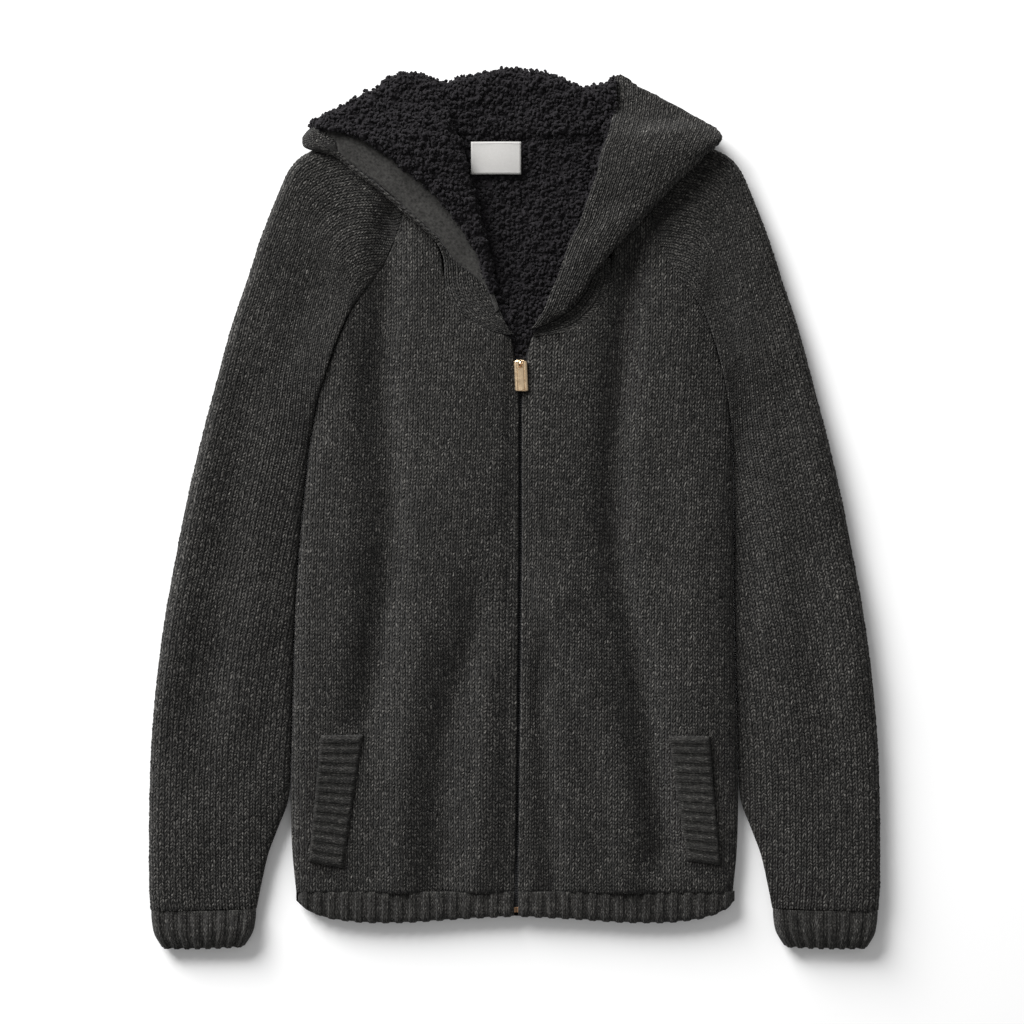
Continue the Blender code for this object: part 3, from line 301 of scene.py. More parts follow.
def crumple(x: Array, y: Array, seed: float) -> Array:
    """Small soft unevenness of cloth that lies loose, between about -1 and 1."""
    waves = (
        (0.041, 0.013, 1.1), (0.017, 0.031, 2.7), (0.063, -0.022, 0.4), (-0.029, 0.047, 3.9),
        (0.012, 0.071, 5.2),
    )
    total = np.zeros(np.broadcast(x, y).shape)
    for across, along, phase in waves:
        total = (
            total + np.sin(across * x + along * y + phase + seed + 1.3 * np.sin(0.021 * y + seed))
        )
    return total / 3


def chance(cells: Array, lines: Array) -> Array:
    """A fixed random number from 0 to 1 for each numbered cell."""
    return (np.sin(cells * 12.9898 + lines * 78.233) * 43758.5453) % 1.0


def stitch_relief(u: Array, v: Array, depth: float) -> Array:
    """The height of stocking stitches: two plump legs to a wale, with grooves between.

    Args:
        u: the place across, in wales.
        v: the place along, in courses.
        depth: the greatest height.

    Returns:
        The height at each point.
    """
    u = u + 0.08 * np.sin(0.83 * v + 2.3 * np.sin(0.47 * u))
    v = v + 0.35 * np.sin(1.9 * u + 1.3 * np.sin(0.31 * v))
    phase = u % 1.0
    legs = np.abs(np.sin(2 * np.pi * phase)) ** 0.7
    middle = 0.6 * np.exp(-(((phase - 0.5) / 0.13) ** 2))
    slant = v - 0.75 * np.abs(phase - 0.5) * 2 + 0.375
    plump = 0.72 + 0.56 * chance(np.floor(2 * u), np.floor(slant + 0.5))
    return depth * plump * np.maximum(legs, middle) * (0.74 + 0.26 * np.cos(2 * np.pi * slant))


def rib_relief(place: Array) -> Array:
    """A two-by-two rib's height, as a share, at a place counted in ribs."""
    phase = place % 1.0
    plateau = ease((0.33 - np.abs(phase - 0.5)) / 0.13)
    wales = 0.86 + 0.14 * np.abs(np.sin(4 * np.pi * (phase - 0.25)))
    return plateau * wales


def smoothed(values: Array, passes: int) -> Array:
    """Evens out a grid of heights by this many passes of averaging with its neighbours."""
    for _ in range(passes):
        padded = np.pad(values, 1, mode="edge")
        around = padded[:-2, 1:-1] + padded[2:, 1:-1] + padded[1:-1, :-2] + padded[1:-1, 2:]
        values = 0.5 * values + 0.125 * around
    return values


def refined_at(grid: Array, at: Array) -> Array:
    """Resamples the rows of a grid at places counted in rows, along smooth curves."""
    left = np.clip(at.astype(int), 0, grid.shape[0] - 2)
    return hermite(grid, np.gradient(grid, axis=0), left, (at - left)[:, None, None])


def refined(grid: Array, rows: int, columns: int) -> Array:
    """Resamples a coarse grid of points along smooth curves both ways.

    Args:
        grid: rows, columns and values of each point.
        rows: how many rows to give.
        columns: how many columns to give.

    Returns:
        The finer grid.
    """
    for count in (rows, columns):
        grid = refined_at(grid, np.linspace(0, grid.shape[0] - 1, count)).swapaxes(0, 1)
    return grid


def layers(*parts: Array) -> Array:
    """Puts arrays that spread to one shape side by side, as the values of each point."""
    return np.stack(np.broadcast_arrays(*parts), axis=2)


def raised(plan: Array, height: Array) -> Array:
    """A grid of places with their heights."""
    return layers(plan[..., 0], plan[..., 1], height)


def embossed(grid: Array, relief: Array, core: float = BELOW) -> Array:
    """Moves each point out along its surface, which turns away from the height of core."""
    along, across = np.gradient(grid, axis=0), np.gradient(grid, axis=1)
    normals = np.cross(across, along)
    lengths = np.linalg.norm(normals, axis=2, keepdims=True)
    normals = np.where(lengths > 1e-9, normals / np.maximum(lengths, 1e-9), (0.0, 0.0, 0.0))
    sign = np.sign(np.sum(normals[..., 2] * (grid[..., 2] - core)))
    return grid + sign * normals * relief[..., None]


class Graph:
    """A node tree under construction, with short calls for what it uses most."""

    def __init__(self, tree: NodeTree) -> None:
        """Takes the tree to build in."""
        self.tree = tree

    def add(self, kind: str, inputs: dict | None = None, **settings: object) -> Node:
        """Adds a node.

        Args:
            kind: the node's type.
            inputs: values or outputs for its inputs, by name or number.
            settings: the node's own settings.

        Returns:
            The node.
        """
        node = self.tree.nodes.new(kind)
        for name, value in settings.items():
            setattr(node, name, value)
        for name, value in (inputs or {}).items():
            self.feed(node.inputs[name], value)
        return node

    def feed(self, socket: NodeSocket, value: object) -> None:
        """Links an output to a socket, or sets its value."""
        if isinstance(value, NodeSocket):
            self.tree.links.new(value, socket)
        else:
            socket.default_value = value

    def math(self, operation: str, *values: object) -> NodeSocket:
        """The result of a sum on numbers or outputs."""
        node = self.add("ShaderNodeMath", operation=operation)
        for socket, value in zip(node.inputs, values):
            self.feed(socket, value)
        return node.outputs[0]

    def mul(self, *values: object) -> NodeSocket:
        """A product of two."""
        return self.math("MULTIPLY", *values)

    def mad(self, *values: object) -> NodeSocket:
        """The first times the second, plus the third."""
        return self.math("MULTIPLY_ADD", *values)

    def noise(self, place: NodeSocket, scale: float, detail: float = 2.0) -> NodeSocket:
        """A noise value at a place."""
        inputs = {"Vector": place, "Scale": scale, "Detail": detail}
        return self.add("ShaderNodeTexNoise", inputs).outputs[0]

    def blend(self, share: object, low: Sequence[float], high: Sequence[float]) -> NodeSocket:
        """A colour between two."""
        node = self.add("ShaderNodeMix", data_type="RGBA")
        for index, value in ((0, share), (6, low), (7, high)):
            if not isinstance(value, NodeSocket) and index:
                value = (*value, 1.0)
            self.feed(node.inputs[index], value)
        return node.outputs[2]

    def dimmed(self, colour: NodeSocket, share: NodeSocket) -> NodeSocket:
        """A colour made darker by a share."""
        node = self.add("ShaderNodeVectorMath", operation="SCALE")
        self.feed(node.inputs[0], colour)
        self.feed(node.inputs["Scale"], share)
        return node.outputs[0]


@dataclass(frozen=True)
class Finish:
    """What every finish has: its name and how it takes the light."""

    name: str
    roughness: float = 0.9
    metallic: float = 0.0
    sheen: float = 0.0
    specular: float = 0.3

    def material(self) -> Material:
        """Builds the finish.

        Returns:
            The material.
        """
        material = bpy.data.materials.new(self.name)
        material.use_nodes = True
        shader = material.node_tree.nodes["Principled BSDF"]
        plain = {
            "Roughness": self.roughness, "Metallic": self.metallic, "Sheen Weight": self.sheen,
            "Sheen Roughness": 0.5,
            "Specular IOR Level": self.specular,
        }
        for name, value in plain.items():
            shader.inputs[name].default_value = value
        graph = Graph(material.node_tree)
        self.paint(graph, shader, graph.add("ShaderNodeTexCoord").outputs["Object"])
        return material

    def paint(self, graph: Graph, shader: Node, place: NodeSocket) -> None:
        """Gives the shader its colour and relief at each place."""
        raise NotImplementedError

    def raise_up(self, graph: Graph, shader: Node, height: object, distance: float) -> None:
        """Gives the shader a bump of this height in metres."""
        bump = graph.add(
            "ShaderNodeBump", {"Height": height, "Distance": distance, "Strength": 1.0}
        )
        graph.feed(shader.inputs["Normal"], bump.outputs[0])


@dataclass(frozen=True)
class KnitFinish(Finish):
    """Marled yarn in stocking stitch, laid out by the piece's own stitch map; its grooves get painted
    shade.
    """

    dark: tuple = (0.0082, 0.0079, 0.0075)
    light: tuple = (0.175, 0.168, 0.156)
    depth: float = 0.0018
    groove_shade: float = 0.05
    fleck: float = 0.16
    marl: float = 0.42

    def paint(self, graph: Graph, shader: Node, place: NodeSocket) -> None:
        """Gives the shader its colour and relief at each place."""
        stitches = graph.add("ShaderNodeUVMap", uv_map=STITCHES).outputs[0]
        parts = graph.add("ShaderNodeSeparateXYZ", {0: stitches})
        sway = graph.math("SUBTRACT", graph.noise(place, 110.0, 3.0), 0.5)
        across = graph.mad(sway, 0.6, parts.outputs[0])
        along = graph.mad(sway, 2.2, parts.outputs[1])
        off_middle = graph.math("SUBTRACT", graph.math("FRACT", across), 0.5)
        half = graph.mul(graph.math("ABSOLUTE", off_middle), 2.0)
        slant = graph.math("ADD", graph.mad(half, -0.75, along), 0.375)
        pulse = graph.math("ABSOLUTE", graph.math("COSINE", graph.mul(slant, math.pi)))
        ridge = graph.math("SINE", graph.mul(half, math.pi))
        middle = graph.mad(half, -1.1, 0.55)
        ridge = graph.math("POWER", graph.math("MAXIMUM", ridge, 0.001), 0.6)
        ridge = graph.math("MAXIMUM", ridge, middle)
        plump = graph.mul(graph.math("POWER", graph.math("MAXIMUM", pulse, 0.001), 0.6), ridge)

        cell = graph.add("ShaderNodeCombineXYZ", {
            0: graph.math("FLOOR", graph.mul(across, 2.0)),
            1: graph.math("FLOOR", graph.math("ADD", slant, 0.5)),
        })
        draw = graph.add(
            "ShaderNodeTexWhiteNoise", {"Vector": cell.outputs[0]}, noise_dimensions="2D",
        )
        luck = draw.outputs[0]
        yarn = graph.add("ShaderNodeCombineXYZ", {
            0: graph.mul(across, 7.0), 1: graph.mul(slant, 1.5),
        })
        strand = graph.noise(yarn.outputs[0], 1.0, 4.0)
        fibre = graph.noise(place, 900.0, 3.0)
        thread = graph.math("MAXIMUM", graph.math("SUBTRACT", strand, self.marl), 0.0)
        fleck = graph.mad(graph.math("POWER", luck, 6.0), self.fleck, graph.mul(luck, 0.1))
        tone = graph.mad(thread, graph.mad(luck, 1.4, 1.4), fleck)
        tone = graph.mul(tone, graph.mad(fibre, 3.0, -0.55))
        colour = graph.blend(tone, self.dark, self.light)
        # Painted shade: the colour is darkened in the grooves between the stitch legs, where the relief
        # is low.
        shade = graph.mad(plump, 1.0 - self.groove_shade, self.groove_shade)
        # Painted shade and highlight: the grooves between wales are darkened and each wale's middle is
        # lightened a little.
        between = graph.mad(graph.math("POWER", half, 5.0), -0.7, 1.1)
        shade = graph.mul(shade, between)
        patch = graph.mad(graph.noise(place, 9.0), 0.5, 0.75)
        graph.feed(shader.inputs["Base Color"], graph.dimmed(graph.dimmed(colour, shade), patch))
        height = graph.mad(fibre, 0.22, plump)
        self.raise_up(graph, shader, height, self.depth)


@dataclass(frozen=True)
class PileFinish(Finish):
    """Black curly pile."""

    dark: tuple = (0.008, 0.0073, 0.0083)
    light: tuple = (0.024, 0.022, 0.0246)
    depth: float = 0.0004

    def paint(self, graph: Graph, shader: Node, place: NodeSocket) -> None:
        """Gives the shader its colour and relief at each place."""
        clump = graph.noise(place, 220.0, 2.0)
        fibre = graph.noise(place, 1500.0, 3.0)
        share = graph.mul(graph.math("POWER", clump, 2.0), graph.mad(fibre, 1.6, 0.4))
        graph.feed(shader.inputs["Base Color"], graph.blend(share, self.dark, self.light))
        self.raise_up(graph, shader, fibre, self.depth)


@dataclass(frozen=True)
class WeaveFinish(Finish):
    """Fine flat cloth: crossed threads at a pitch in metres."""

    colour: tuple = (0.03, 0.03, 0.03)
    pitch: float = 0.0006
    depth: float = 0.0001
    mottle: float = 0.5
    slub: float = 0.0

    def paint(self, graph: Graph, shader: Node, place: NodeSocket) -> None:
        """Gives the shader its colour and relief at each place."""
        parts = graph.add("ShaderNodeSeparateXYZ", {0: place})
        turn = 2 * math.pi / self.pitch
        warp = graph.math("SINE", graph.mul(parts.outputs[0], turn))
        weft = graph.math("SINE", graph.mul(parts.outputs[1], turn))
        cloth = graph.mad(graph.mul(warp, weft), 0.5, 0.5)
        speck = graph.noise(place, 420.0, 4.0)
        patch = graph.noise(place, 30.0, 2.0)
        shade = graph.math("ADD", graph.mul(cloth, 0.25), graph.mul(speck, self.mottle))
        shade = graph.mad(patch, self.slub, shade)
        shade = graph.math("ADD", shade, 1 - 0.125 - 0.5 * (self.mottle + self.slub))
        shade = graph.math("MAXIMUM", shade, 0.15)
        colour = graph.blend(0.0, self.colour, self.colour)
        graph.feed(shader.inputs["Base Color"], graph.dimmed(colour, shade))
        self.raise_up(graph, shader, graph.math("ADD", cloth, speck), self.depth)


@dataclass(frozen=True)
class MetalFinish(Finish):
    """Brushed plated metal with faint dulling."""

    bright: tuple = (0.86, 0.68, 0.46)
    dull: tuple = (0.62, 0.44, 0.27)
    grain: float = 0.00012

    def paint(self, graph: Graph, shader: Node, place: NodeSocket) -> None:
        """Gives the shader its colour and relief at each place."""
        lines = graph.add("ShaderNodeMapping", {0: place, "Scale": (3000.0, 120.0, 3000.0)})
        brushed = graph.noise(lines.outputs[0], 1.0, 3.0)
        patch = graph.noise(place, 260.0, 2.0)
        share = graph.mad(brushed, 0.5, graph.mul(patch, 0.5))
        graph.feed(shader.inputs["Base Color"], graph.blend(share, self.dull, self.bright))
        graph.feed(shader.inputs["Roughness"], graph.mad(patch, 0.25, self.roughness - 0.1))
        self.raise_up(graph, shader, brushed, self.grain)


FINISHES: dict[Slot, Finish] = {
    Slot.KNIT: KnitFinish("marled_knit", roughness=0.95, sheen=0.06, specular=0.1),
    Slot.RIB: KnitFinish(
        "marled_rib", roughness=0.95, sheen=0.06, specular=0.1, depth=0.001, groove_shade=0.2,
        light=(0.15, 0.145, 0.134),
    ),
    Slot.PILE: PileFinish("curly_pile", roughness=1.0, sheen=0.05, specular=0.08),
    Slot.FACING: WeaveFinish(
        "plain_jersey", roughness=0.95, sheen=0.08, specular=0.1, colour=(0.038, 0.037, 0.035),
        pitch=0.0014, depth=0.0005, mottle=2.4, slub=0.8,
    ),
    Slot.TAPE: WeaveFinish(
        "black_tape", roughness=0.8, specular=0.3, colour=(0.018, 0.018, 0.019), pitch=0.0009
    ),
    Slot.LABEL: WeaveFinish(
        "satin_label", roughness=0.6, sheen=0.1, colour=(0.4, 0.392, 0.38), pitch=0.0005,
        depth=0.00005, mottle=0.14, slub=0.16,
    ),
    Slot.GOLD: MetalFinish("brushed_gold", roughness=0.34, metallic=1.0, specular=0.5),
    Slot.BRONZE: MetalFinish(
        "dull_bronze", roughness=0.45, metallic=1.0, specular=0.5, bright=(0.36, 0.22, 0.13),
        dull=(0.2, 0.12, 0.07),
    ),
}
BUILT: dict[Slot, Material] = {}


def finish_of(slot: Slot) -> Material:
    """The built material of a slot, made once."""
    if slot not in BUILT:
        BUILT[slot] = FINISHES[slot].material()
    return BUILT[slot]


def linked(name: str, data: bpy.types.ID) -> Object:
    """A new object of this data, in the scene."""
    thing = bpy.data.objects.new(name, data)
    bpy.context.scene.collection.objects.link(thing)
    return thing


def sided(part: str, side: int) -> str:
    """A node's name with its side."""
    return f"{part}_{'right' if side < 0 else 'left'}"


def cloth_mesh(
    name: str, grid: Array, stitches: Array, slot: Slot, last: Array | None = None,
    core: float = BELOW,
) -> Object:
    """Makes a mesh object of a grid of points.

    Args:
        name: the piece's name.
        grid: the points by row and column.
        stitches: the stitch map at each point, in wales and courses.
        slot: its finish.
        last: for each column the last row that it reaches, where the cloth is cut on a slant.
        core: the height that the surface turns away from.

    Returns:
        The object, at the origin.
    """
    rows, columns = grid.shape[:2]
    index = np.arange(rows * columns).reshape(rows, columns)
    if last is not None:
        kept = np.minimum(np.arange(rows)[:, None], last[None, :])
        index = index[kept, np.arange(columns)[None, :]]
    quads = layers(index[:-1, :-1], index[:-1, 1:], index[1:, 1:], index[1:, :-1]).reshape(-1, 4)
    no_left, no_right = quads[:, 0] == quads[:, 3], quads[:, 1] == quads[:, 2]
    faces = [
        quads[~no_left & ~no_right], quads[no_left & ~no_right][:, :3],
        quads[~no_left & no_right][:, (0, 1, 3)],
    ]
    used, places = np.unique(np.concatenate([part.ravel() for part in faces]), return_inverse=True)
    points = grid.reshape(-1, 3)[used] * MM
    marks = stitches.reshape(-1, 2)[used]
    polygons, start = [], 0
    for part in faces:
        polygons += places[start:start + part.size].reshape(part.shape).tolist()
        start += part.size
    mesh = bpy.data.meshes.new(name)
    mesh.from_pydata(points.tolist(), [], polygons)
    mesh.uv_layers.new(name=STITCHES)
    corners = np.empty(len(mesh.loops), dtype=np.int64)
    mesh.loops.foreach_get("vertex_index", corners)
    mesh.uv_layers[STITCHES].data.foreach_set("uv", marks[corners].astype(np.float32).ravel())
    work = bmesh.new()
    work.from_mesh(mesh)
    bmesh.ops.remove_doubles(work, verts=work.verts, dist=0.000002)
    turn = sum(
        face.normal.z * face.calc_area() * (face.calc_center_median().z - core * MM)
        for face in work.faces
    )
    if turn < 0:
        bmesh.ops.reverse_faces(work, faces=work.faces)
    work.to_mesh(mesh)
    work.free()
    mesh.shade_smooth()
    mesh.materials.append(finish_of(slot))
    return linked(name, mesh)


@dataclass
class Sheet:
    """What is said of a cloth piece: its cut and how it lies."""

    flat: tuple[float, float]
    area: float | None = None
    held: Hold = Hold.LAID
    rests_on: tuple[str, ...] = ()


def place_piece(thing: Object, nodes: Sequence[str]) -> Object:
    """Rides, replaces and logs one finished piece.

    Args:
        thing: the piece.
        nodes: the solids that it stands for.

    Returns:
        The piece.
    """
    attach(thing, GARMENT)
    if nodes:
        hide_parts(*nodes)
    LOG.info(
        "%s: %d faces for %s", thing.name, len(thing.data.polygons), ", ".join(nodes) or "no solid"
    )
    return thing


def sew(
    node: str, kind: str, grid: Array, marks: Array, slot: Slot, sheet: Sheet, **how: object
) -> Object:
    """Makes and places the cloth piece of one solid.

    Args:
        node: the solid that it stands for.
        kind: the end of its name.
        grid: its points.
        marks: its stitch map.
        slot: its finish.
        sheet: what it is as cloth; not used.
        how: what else cloth_mesh is told.

    Returns:
        The piece.
    """
    return place_piece(cloth_mesh(f"{node}_{kind}", grid, marks, slot, **how), [node])


class Ground:
    """The solids that a piece lies on, asked for their height from above."""

    def __init__(self, nodes: Iterable[str | Object]) -> None:
        """Takes the names of solids, or finished pieces."""
        self.trees = []
        for node in nodes:
            mesh = (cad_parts[node] if isinstance(node, str) else node).data
            points = [vertex.co / MM for vertex in mesh.vertices]
            self.trees.append(
                BVHTree.FromPolygons(points, [tuple(face.vertices) for face in mesh.polygons])
            )

    def height(self, x: float, y: float, reach: float = 0.0) -> float:
        """The highest point within a reach of a place, and 0 on the bare surface."""
        spots = [(0.0, 0.0)]
        for share, count in ((1.0, 10), (0.5, 5)):
            for turn in range(count if reach else 0):
                angle = math.tau * turn / count
                spots.append((share * reach * math.cos(angle), share * reach * math.sin(angle)))
        best = 0.0
        for tree in self.trees:
            for dx, dy in spots:
                hit = tree.ray_cast(Vector((x + dx, y + dy, 300.0)), Vector((0, 0, -1)))[0]
                best = max(best, hit.z if hit is not None else 0.0)
        return best

    def heights(self, plan: Array, reach: float) -> Array:
        """The heights over a grid of places."""
        return np.array([[self.height(x, y, reach) for x, y in row] for row in plan])


def span(starts: Array, ends: Array) -> Array:
    """The distance from each start to its end, as a column."""
    return np.linalg.norm(ends - starts, axis=1)[:, None]


def plan_of(starts: Array, ends: Array, shares: Array) -> Array:
    """A grid of places: each row runs from its start to its end by these shares."""
    return starts[:, None, :] + (ends - starts)[:, None, :] * np.asarray(shares)[None, :, None]


def cut_lines(top_y: Array, step: float) -> tuple[Array, Array, Array]:
    """Lays lines of stitches up from the hem, each as far as the slanted top edge.

    Args:
        top_y: where each line is cut.
        step: the distance from row to row.

    Returns:
        The last row of each line, how far past it each row is, and the place of each point.
    """
    reach = np.ceil((top_y - HEM_SEAM_Y) / step).astype(int)
    rows = np.arange(reach.max() + 3)[:, None]
    return reach, np.clip(rows - reach, 0, 2), np.minimum(HEM_SEAM_Y + rows * step, top_y)


def with_edges(
    grid: Array, stitches: Array, drops: Sequence[float], tuck: float, sides: str
) -> tuple[Array, Array]:
    """Turns a grid's edges down.

    Args:
        grid: the points.
        stitches: their stitch map.
        drops: how far below the edge each added line lies.
        tuck: how far in the last line lies.
        sides: which edges, from s, e, f and l: the start row, the end row, the first column and
            the last column.

    Returns:
        The grid and its stitch map with the added lines.
    """
    for side in sides:
        turned = side in "fl"
        if turned:
            grid, stitches = grid.swapaxes(0, 1), stitches.swapaxes(0, 1)
        if side in "el":
            grid, stitches = grid[::-1], stitches[::-1]
        inward = grid[min(4, len(grid) - 1)] - grid[0]
        inward[:, 2] = 0.0
        inward /= np.maximum(np.linalg.norm(inward, axis=1, keepdims=True), 1e-6)
        lines, marks = [], []
        for number, drop in enumerate(reversed(drops)):
            share = 1 - number / max(1, len(drops) - 1)
            line = grid[0] + inward * tuck * share
            line[:, 2] = np.maximum(line[:, 2] - drop, LEAST)
            lines.append(line)
            marks.append(stitches[0] + (stitches[0] - stitches[1]) * (len(drops) - number))
        grid = np.concatenate([np.array(lines), grid])
        stitches = np.concatenate([np.array(marks), stitches])
        if side in "el":
            grid, stitches = grid[::-1], stitches[::-1]
        if turned:
            grid, stitches = grid.swapaxes(0, 1), stitches.swapaxes(0, 1)
    return grid, stitches


def sampled(table: Array, at: Array) -> Array:
    """Reads rows of a table at places counted in rows, along smooth curves."""
    return refined_at(np.asarray(table, float)[:, None, :], at)[:, 0, :]


def evenly(route: Array, step: float) -> Array:
    """Places along a route of points, counted in its rows, that lie about a step apart."""
    fine = np.linspace(0, len(route) - 1, 40 * len(route))
    points = sampled(route, fine)
    lengths = np.concatenate([[0.0], np.cumsum(np.linalg.norm(np.diff(points, axis=0), axis=1))])
    count = max(2, int(round(lengths[-1] / step)) + 1)
    return np.interp(np.linspace(0, lengths[-1], count), lengths, fine)


@dataclass
class Body:
    """The two fronts, the back and the ribbed hem."""

    gauge: Gauge = BODY_GAUGE
    squeezed_from: float = 180.0
    widest: float = 206.5
    rib_samples: int = 16
    overlap: float = 0.9
    rib_height: float = 1.6
    edge_roll: float = 19.0
    roll_fades_from: float = 60.0
    roll_fades_over: float = 64.0
    edge_turn: tuple[float, ...] = (1.6, 4.2)
    edge_tuck: float = 0.6
    fronts: dict[int, Object] = field(default_factory=dict)

    def build(self) -> None:
        """Makes every piece of the body."""
        for side in (-1, 1):
            self.front(side)
            self.hem_front(side)
        self.back()
        self.hem_back()

    def outward(self, base: Array, y: Array) -> Array:
        """How far out a line of stitches lies: straight, and squeezed towards the side seam."""
        edge = through(SIDE, y)
        share = (base - self.squeezed_from) / (self.widest - self.squeezed_from)
        return np.where(
            base <= self.squeezed_from, base,
            self.squeezed_from + share * (edge - self.squeezed_from),
        )

    def rolled_under(self, y: Array) -> Array:
        """How much of the side's roll there is: all of it below the armhole and none above."""
        return 1 - ease((y - self.roll_fades_from) / self.roll_fades_over)

    def middle(self, distance: Array, y: Array) -> Array:
        """Where the garment's middle lies for a point this far from it."""
        share = ease(distance / 40)
        return straight(ZIP_LINE, y) * (1 - share) + through(LEAN, y) * share

    def surface(self, x: Array, y: Array, distance: Array) -> Array:
        """The front's upper surface away from its edges."""
        near_zip = ease((distance - ZIP_GAP - 3) / 16)
        loft = 0.8 * np.sin(x / 47 + 1.3) * np.sin(y / 61) + 0.8 * crumple(x, y, 1.0)
        lift = FRONT_LEVEL - ZIP_EDGE_LEVEL + fold_relief(FOLDS, x, y) + loft
        return ZIP_EDGE_LEVEL + near_zip * lift - 2.2 * ease((-290 - y) / 70)

    def front(self, side: int) -> None:
        """One front, its wales upright and cut by the raglan seam and the neckline."""
        quarter, half_course = self.gauge.wale / 4, self.gauge.course / 2
        base = np.concatenate([
            ZIP_GAP + np.array([0.0, 0.35]),
            np.arange(ZIP_GAP + quarter, self.squeezed_from, quarter),
            np.linspace(self.squeezed_from, self.widest - 1.6, 20),
            self.widest - np.array([1.1, 0.7, 0.35, 0.12, 0.0]),
        ])
        at_top = np.where(base <= self.squeezed_from, base, self.outward(base, np.array(ARMPIT_Y)))
        top_y = straight(FRONT_TOP, at_top) + self.overlap
        reach, over, y = cut_lines(top_y, half_course)
        distance = self.outward(base[None, :], y)
        x = side * distance + self.middle(distance, y)
        slant = np.gradient(top_y, base + np.arange(len(base)) * 1e-4)
        from_top = (top_y[None, :] - y) / np.sqrt(1 + slant**2)[None, :]
        from_side = through(SIDE, y) - distance
        roll = self.rolled_under(y)
        z = self.surface(x, y, distance)
        z -= (
            0.9 * (1 - rounded(from_top, 3.5)) * (1 - roll) + 1.2 * (1 - rounded(y - HEM_SEAM_Y, 4))
        )
        z -= 2.0 * (1 - rounded(distance - ZIP_GAP, 5)) * (y < 150)
        z = (
            roll * (SIDE_SEAM_Z + (z - SIDE_SEAM_Z) * rounded(from_side, self.edge_roll))
            + (1 - roll) * z
        )
        u, v = (distance - ZIP_GAP) / self.gauge.wale, (y - HEM_SEAM_Y) / self.gauge.course
        fade = ease(from_top / 2) * ease(from_side / 1.5)
        grid = embossed(layers(x, y, z), stitch_relief(u, v, self.gauge.depth) * fade)
        grid[..., 2] -= 3.0 * over
        grid, marks = with_edges(grid, layers(u, v), self.edge_turn, self.edge_tuck, "fs")
        last = np.concatenate([[reach[0]] * 2, reach]) + 4
        name = sided("front", side)
        sheet = Sheet((0.215, 0.63), 0.118, rests_on=("back",))
        self.fronts[side] = sew(name, "knit", grid, marks, Slot.KNIT, sheet, last=last)

    def back(self) -> None:
        """The back, face down on the surface, rolled up to the side seams."""
        half, row_step = self.gauge.wale / 2, 6.0
        out = np.concatenate([
            np.arange(0, self.squeezed_from, half),
            np.linspace(self.squeezed_from, self.widest - 3, 12),
            self.widest - np.array([2, 1.2, 0.6, 0.2, 0.0]),
        ])
        base = np.concatenate([-out[:0:-1], out])
        sign, size = np.sign(base), np.abs(base)
        at_top = np.where(size <= self.squeezed_from, size, self.outward(size, np.array(ARMPIT_Y)))
        top_y = straight(BACK_TOP, at_top)
        reach, over, y = cut_lines(top_y, row_step)
        distance = self.outward(size[None, :], y)
        x = sign * distance + through(LEAN, y)
        roll = self.rolled_under(y)
        z = SIDE_SEAM_Z * (1 - rounded(through(SIDE, y) - distance, SIDE_ROLL)) * roll + 2.5 * over
        z += (
            0.8 * (1 - np.abs(np.sin(np.pi * base / self.gauge.wale)))[None, :]
            * (1 - ease((size - 150) / 40))[None, :]
        )
        marks = layers(base / self.gauge.wale, y / self.gauge.course)
        sew(
            "back", "knit", layers(x, y, z), marks, Slot.KNIT, Sheet((0.42, 0.7), 0.26),
            last=reach + 2, core=ABOVE,
        )

    def hem_front(self, side: int) -> None:
        """The hem band under one front, with its ribs standing."""
        width = float(through(SIDE, np.array(HEM_SEAM_Y))) - ZIP_GAP
        ribs = round(width / RIB_PITCH)
        share = np.linspace(0, 1, ribs * self.rib_samples + 1)[None, :]
        down = np.concatenate([[0, 0.03, 0.08], np.linspace(0.16, 0.8, 7), [0.88, 0.94, 0.98, 1.0]])
        down = down[:, None]
        distance = ZIP_GAP + width * share
        rib = rib_relief(share * ribs)
        foot = through(HEM_EDGE, distance) - 1.1 * rib
        start = HEM_SEAM_Y + self.overlap
        y = start + (foot - start) * down
        length = start - foot
        x = side * distance + straight(ZIP_LINE, y)
        from_side, from_zip = width * (1 - share), width * share
        z = (
            HEM_TOP + self.rib_height * rib * ease(np.minimum(from_side, from_zip) / 3)
            + 0.4 * crumple(x, y, 3.0)
        )
        z -= 1.4 * (1 - rounded(down * length, 4)) + 1.5 * (1 - rounded(from_zip, 4))
        z = SIDE_SEAM_Z + (z - SIDE_SEAM_Z) * rounded(from_side, SIDE_ROLL)
        z = 8.8 + (z - 8.8) * rounded((1 - down) * length, 6.5)
        u, v = share * ribs * 4, y / RIB_GAUGE.course
        grid, marks = with_edges(
            layers(x, y, z), layers(u, v), self.edge_turn, self.edge_tuck, "fs"
        )
        name = sided("hem", side)
        sew(name, "rib", grid, marks, Slot.RIB, Sheet((0.2, 0.05), 0.0062, rests_on=("hem_back",)))

    def hem_back(self) -> None:
        """The hem band under the back."""
        width = 2 * float(through(SIDE, np.array(HEM_SEAM_Y)))
        ribs = round(width / RIB_PITCH)
        share = np.linspace(0, 1, ribs * 8 + 1)[None, :]
        down = np.linspace(0, 1, 9)[:, None]
        distance = width * (share - 0.5)
        foot = through(HEM_EDGE, np.abs(distance))
        start = HEM_SEAM_Y - 0.3
        y = start + (foot - start) * down
        x = distance + 0 * y
        from_side = width * np.minimum(share, 1 - share)
        z = (
            SIDE_SEAM_Z
            * (1 - rounded(from_side, SIDE_ROLL) * rounded((1 - down) * (start - foot), 5))
        )
        z = np.maximum(z, 1.3 * (1 - rib_relief(share * ribs)) * (z < 3))
        marks = layers(share * ribs * 4, y / RIB_GAUGE.course)
        sew(
            "hem_back", "rib", layers(x, y, z), marks, Slot.RIB, Sheet((0.41, 0.05), 0.0125),
            core=ABOVE,
        )


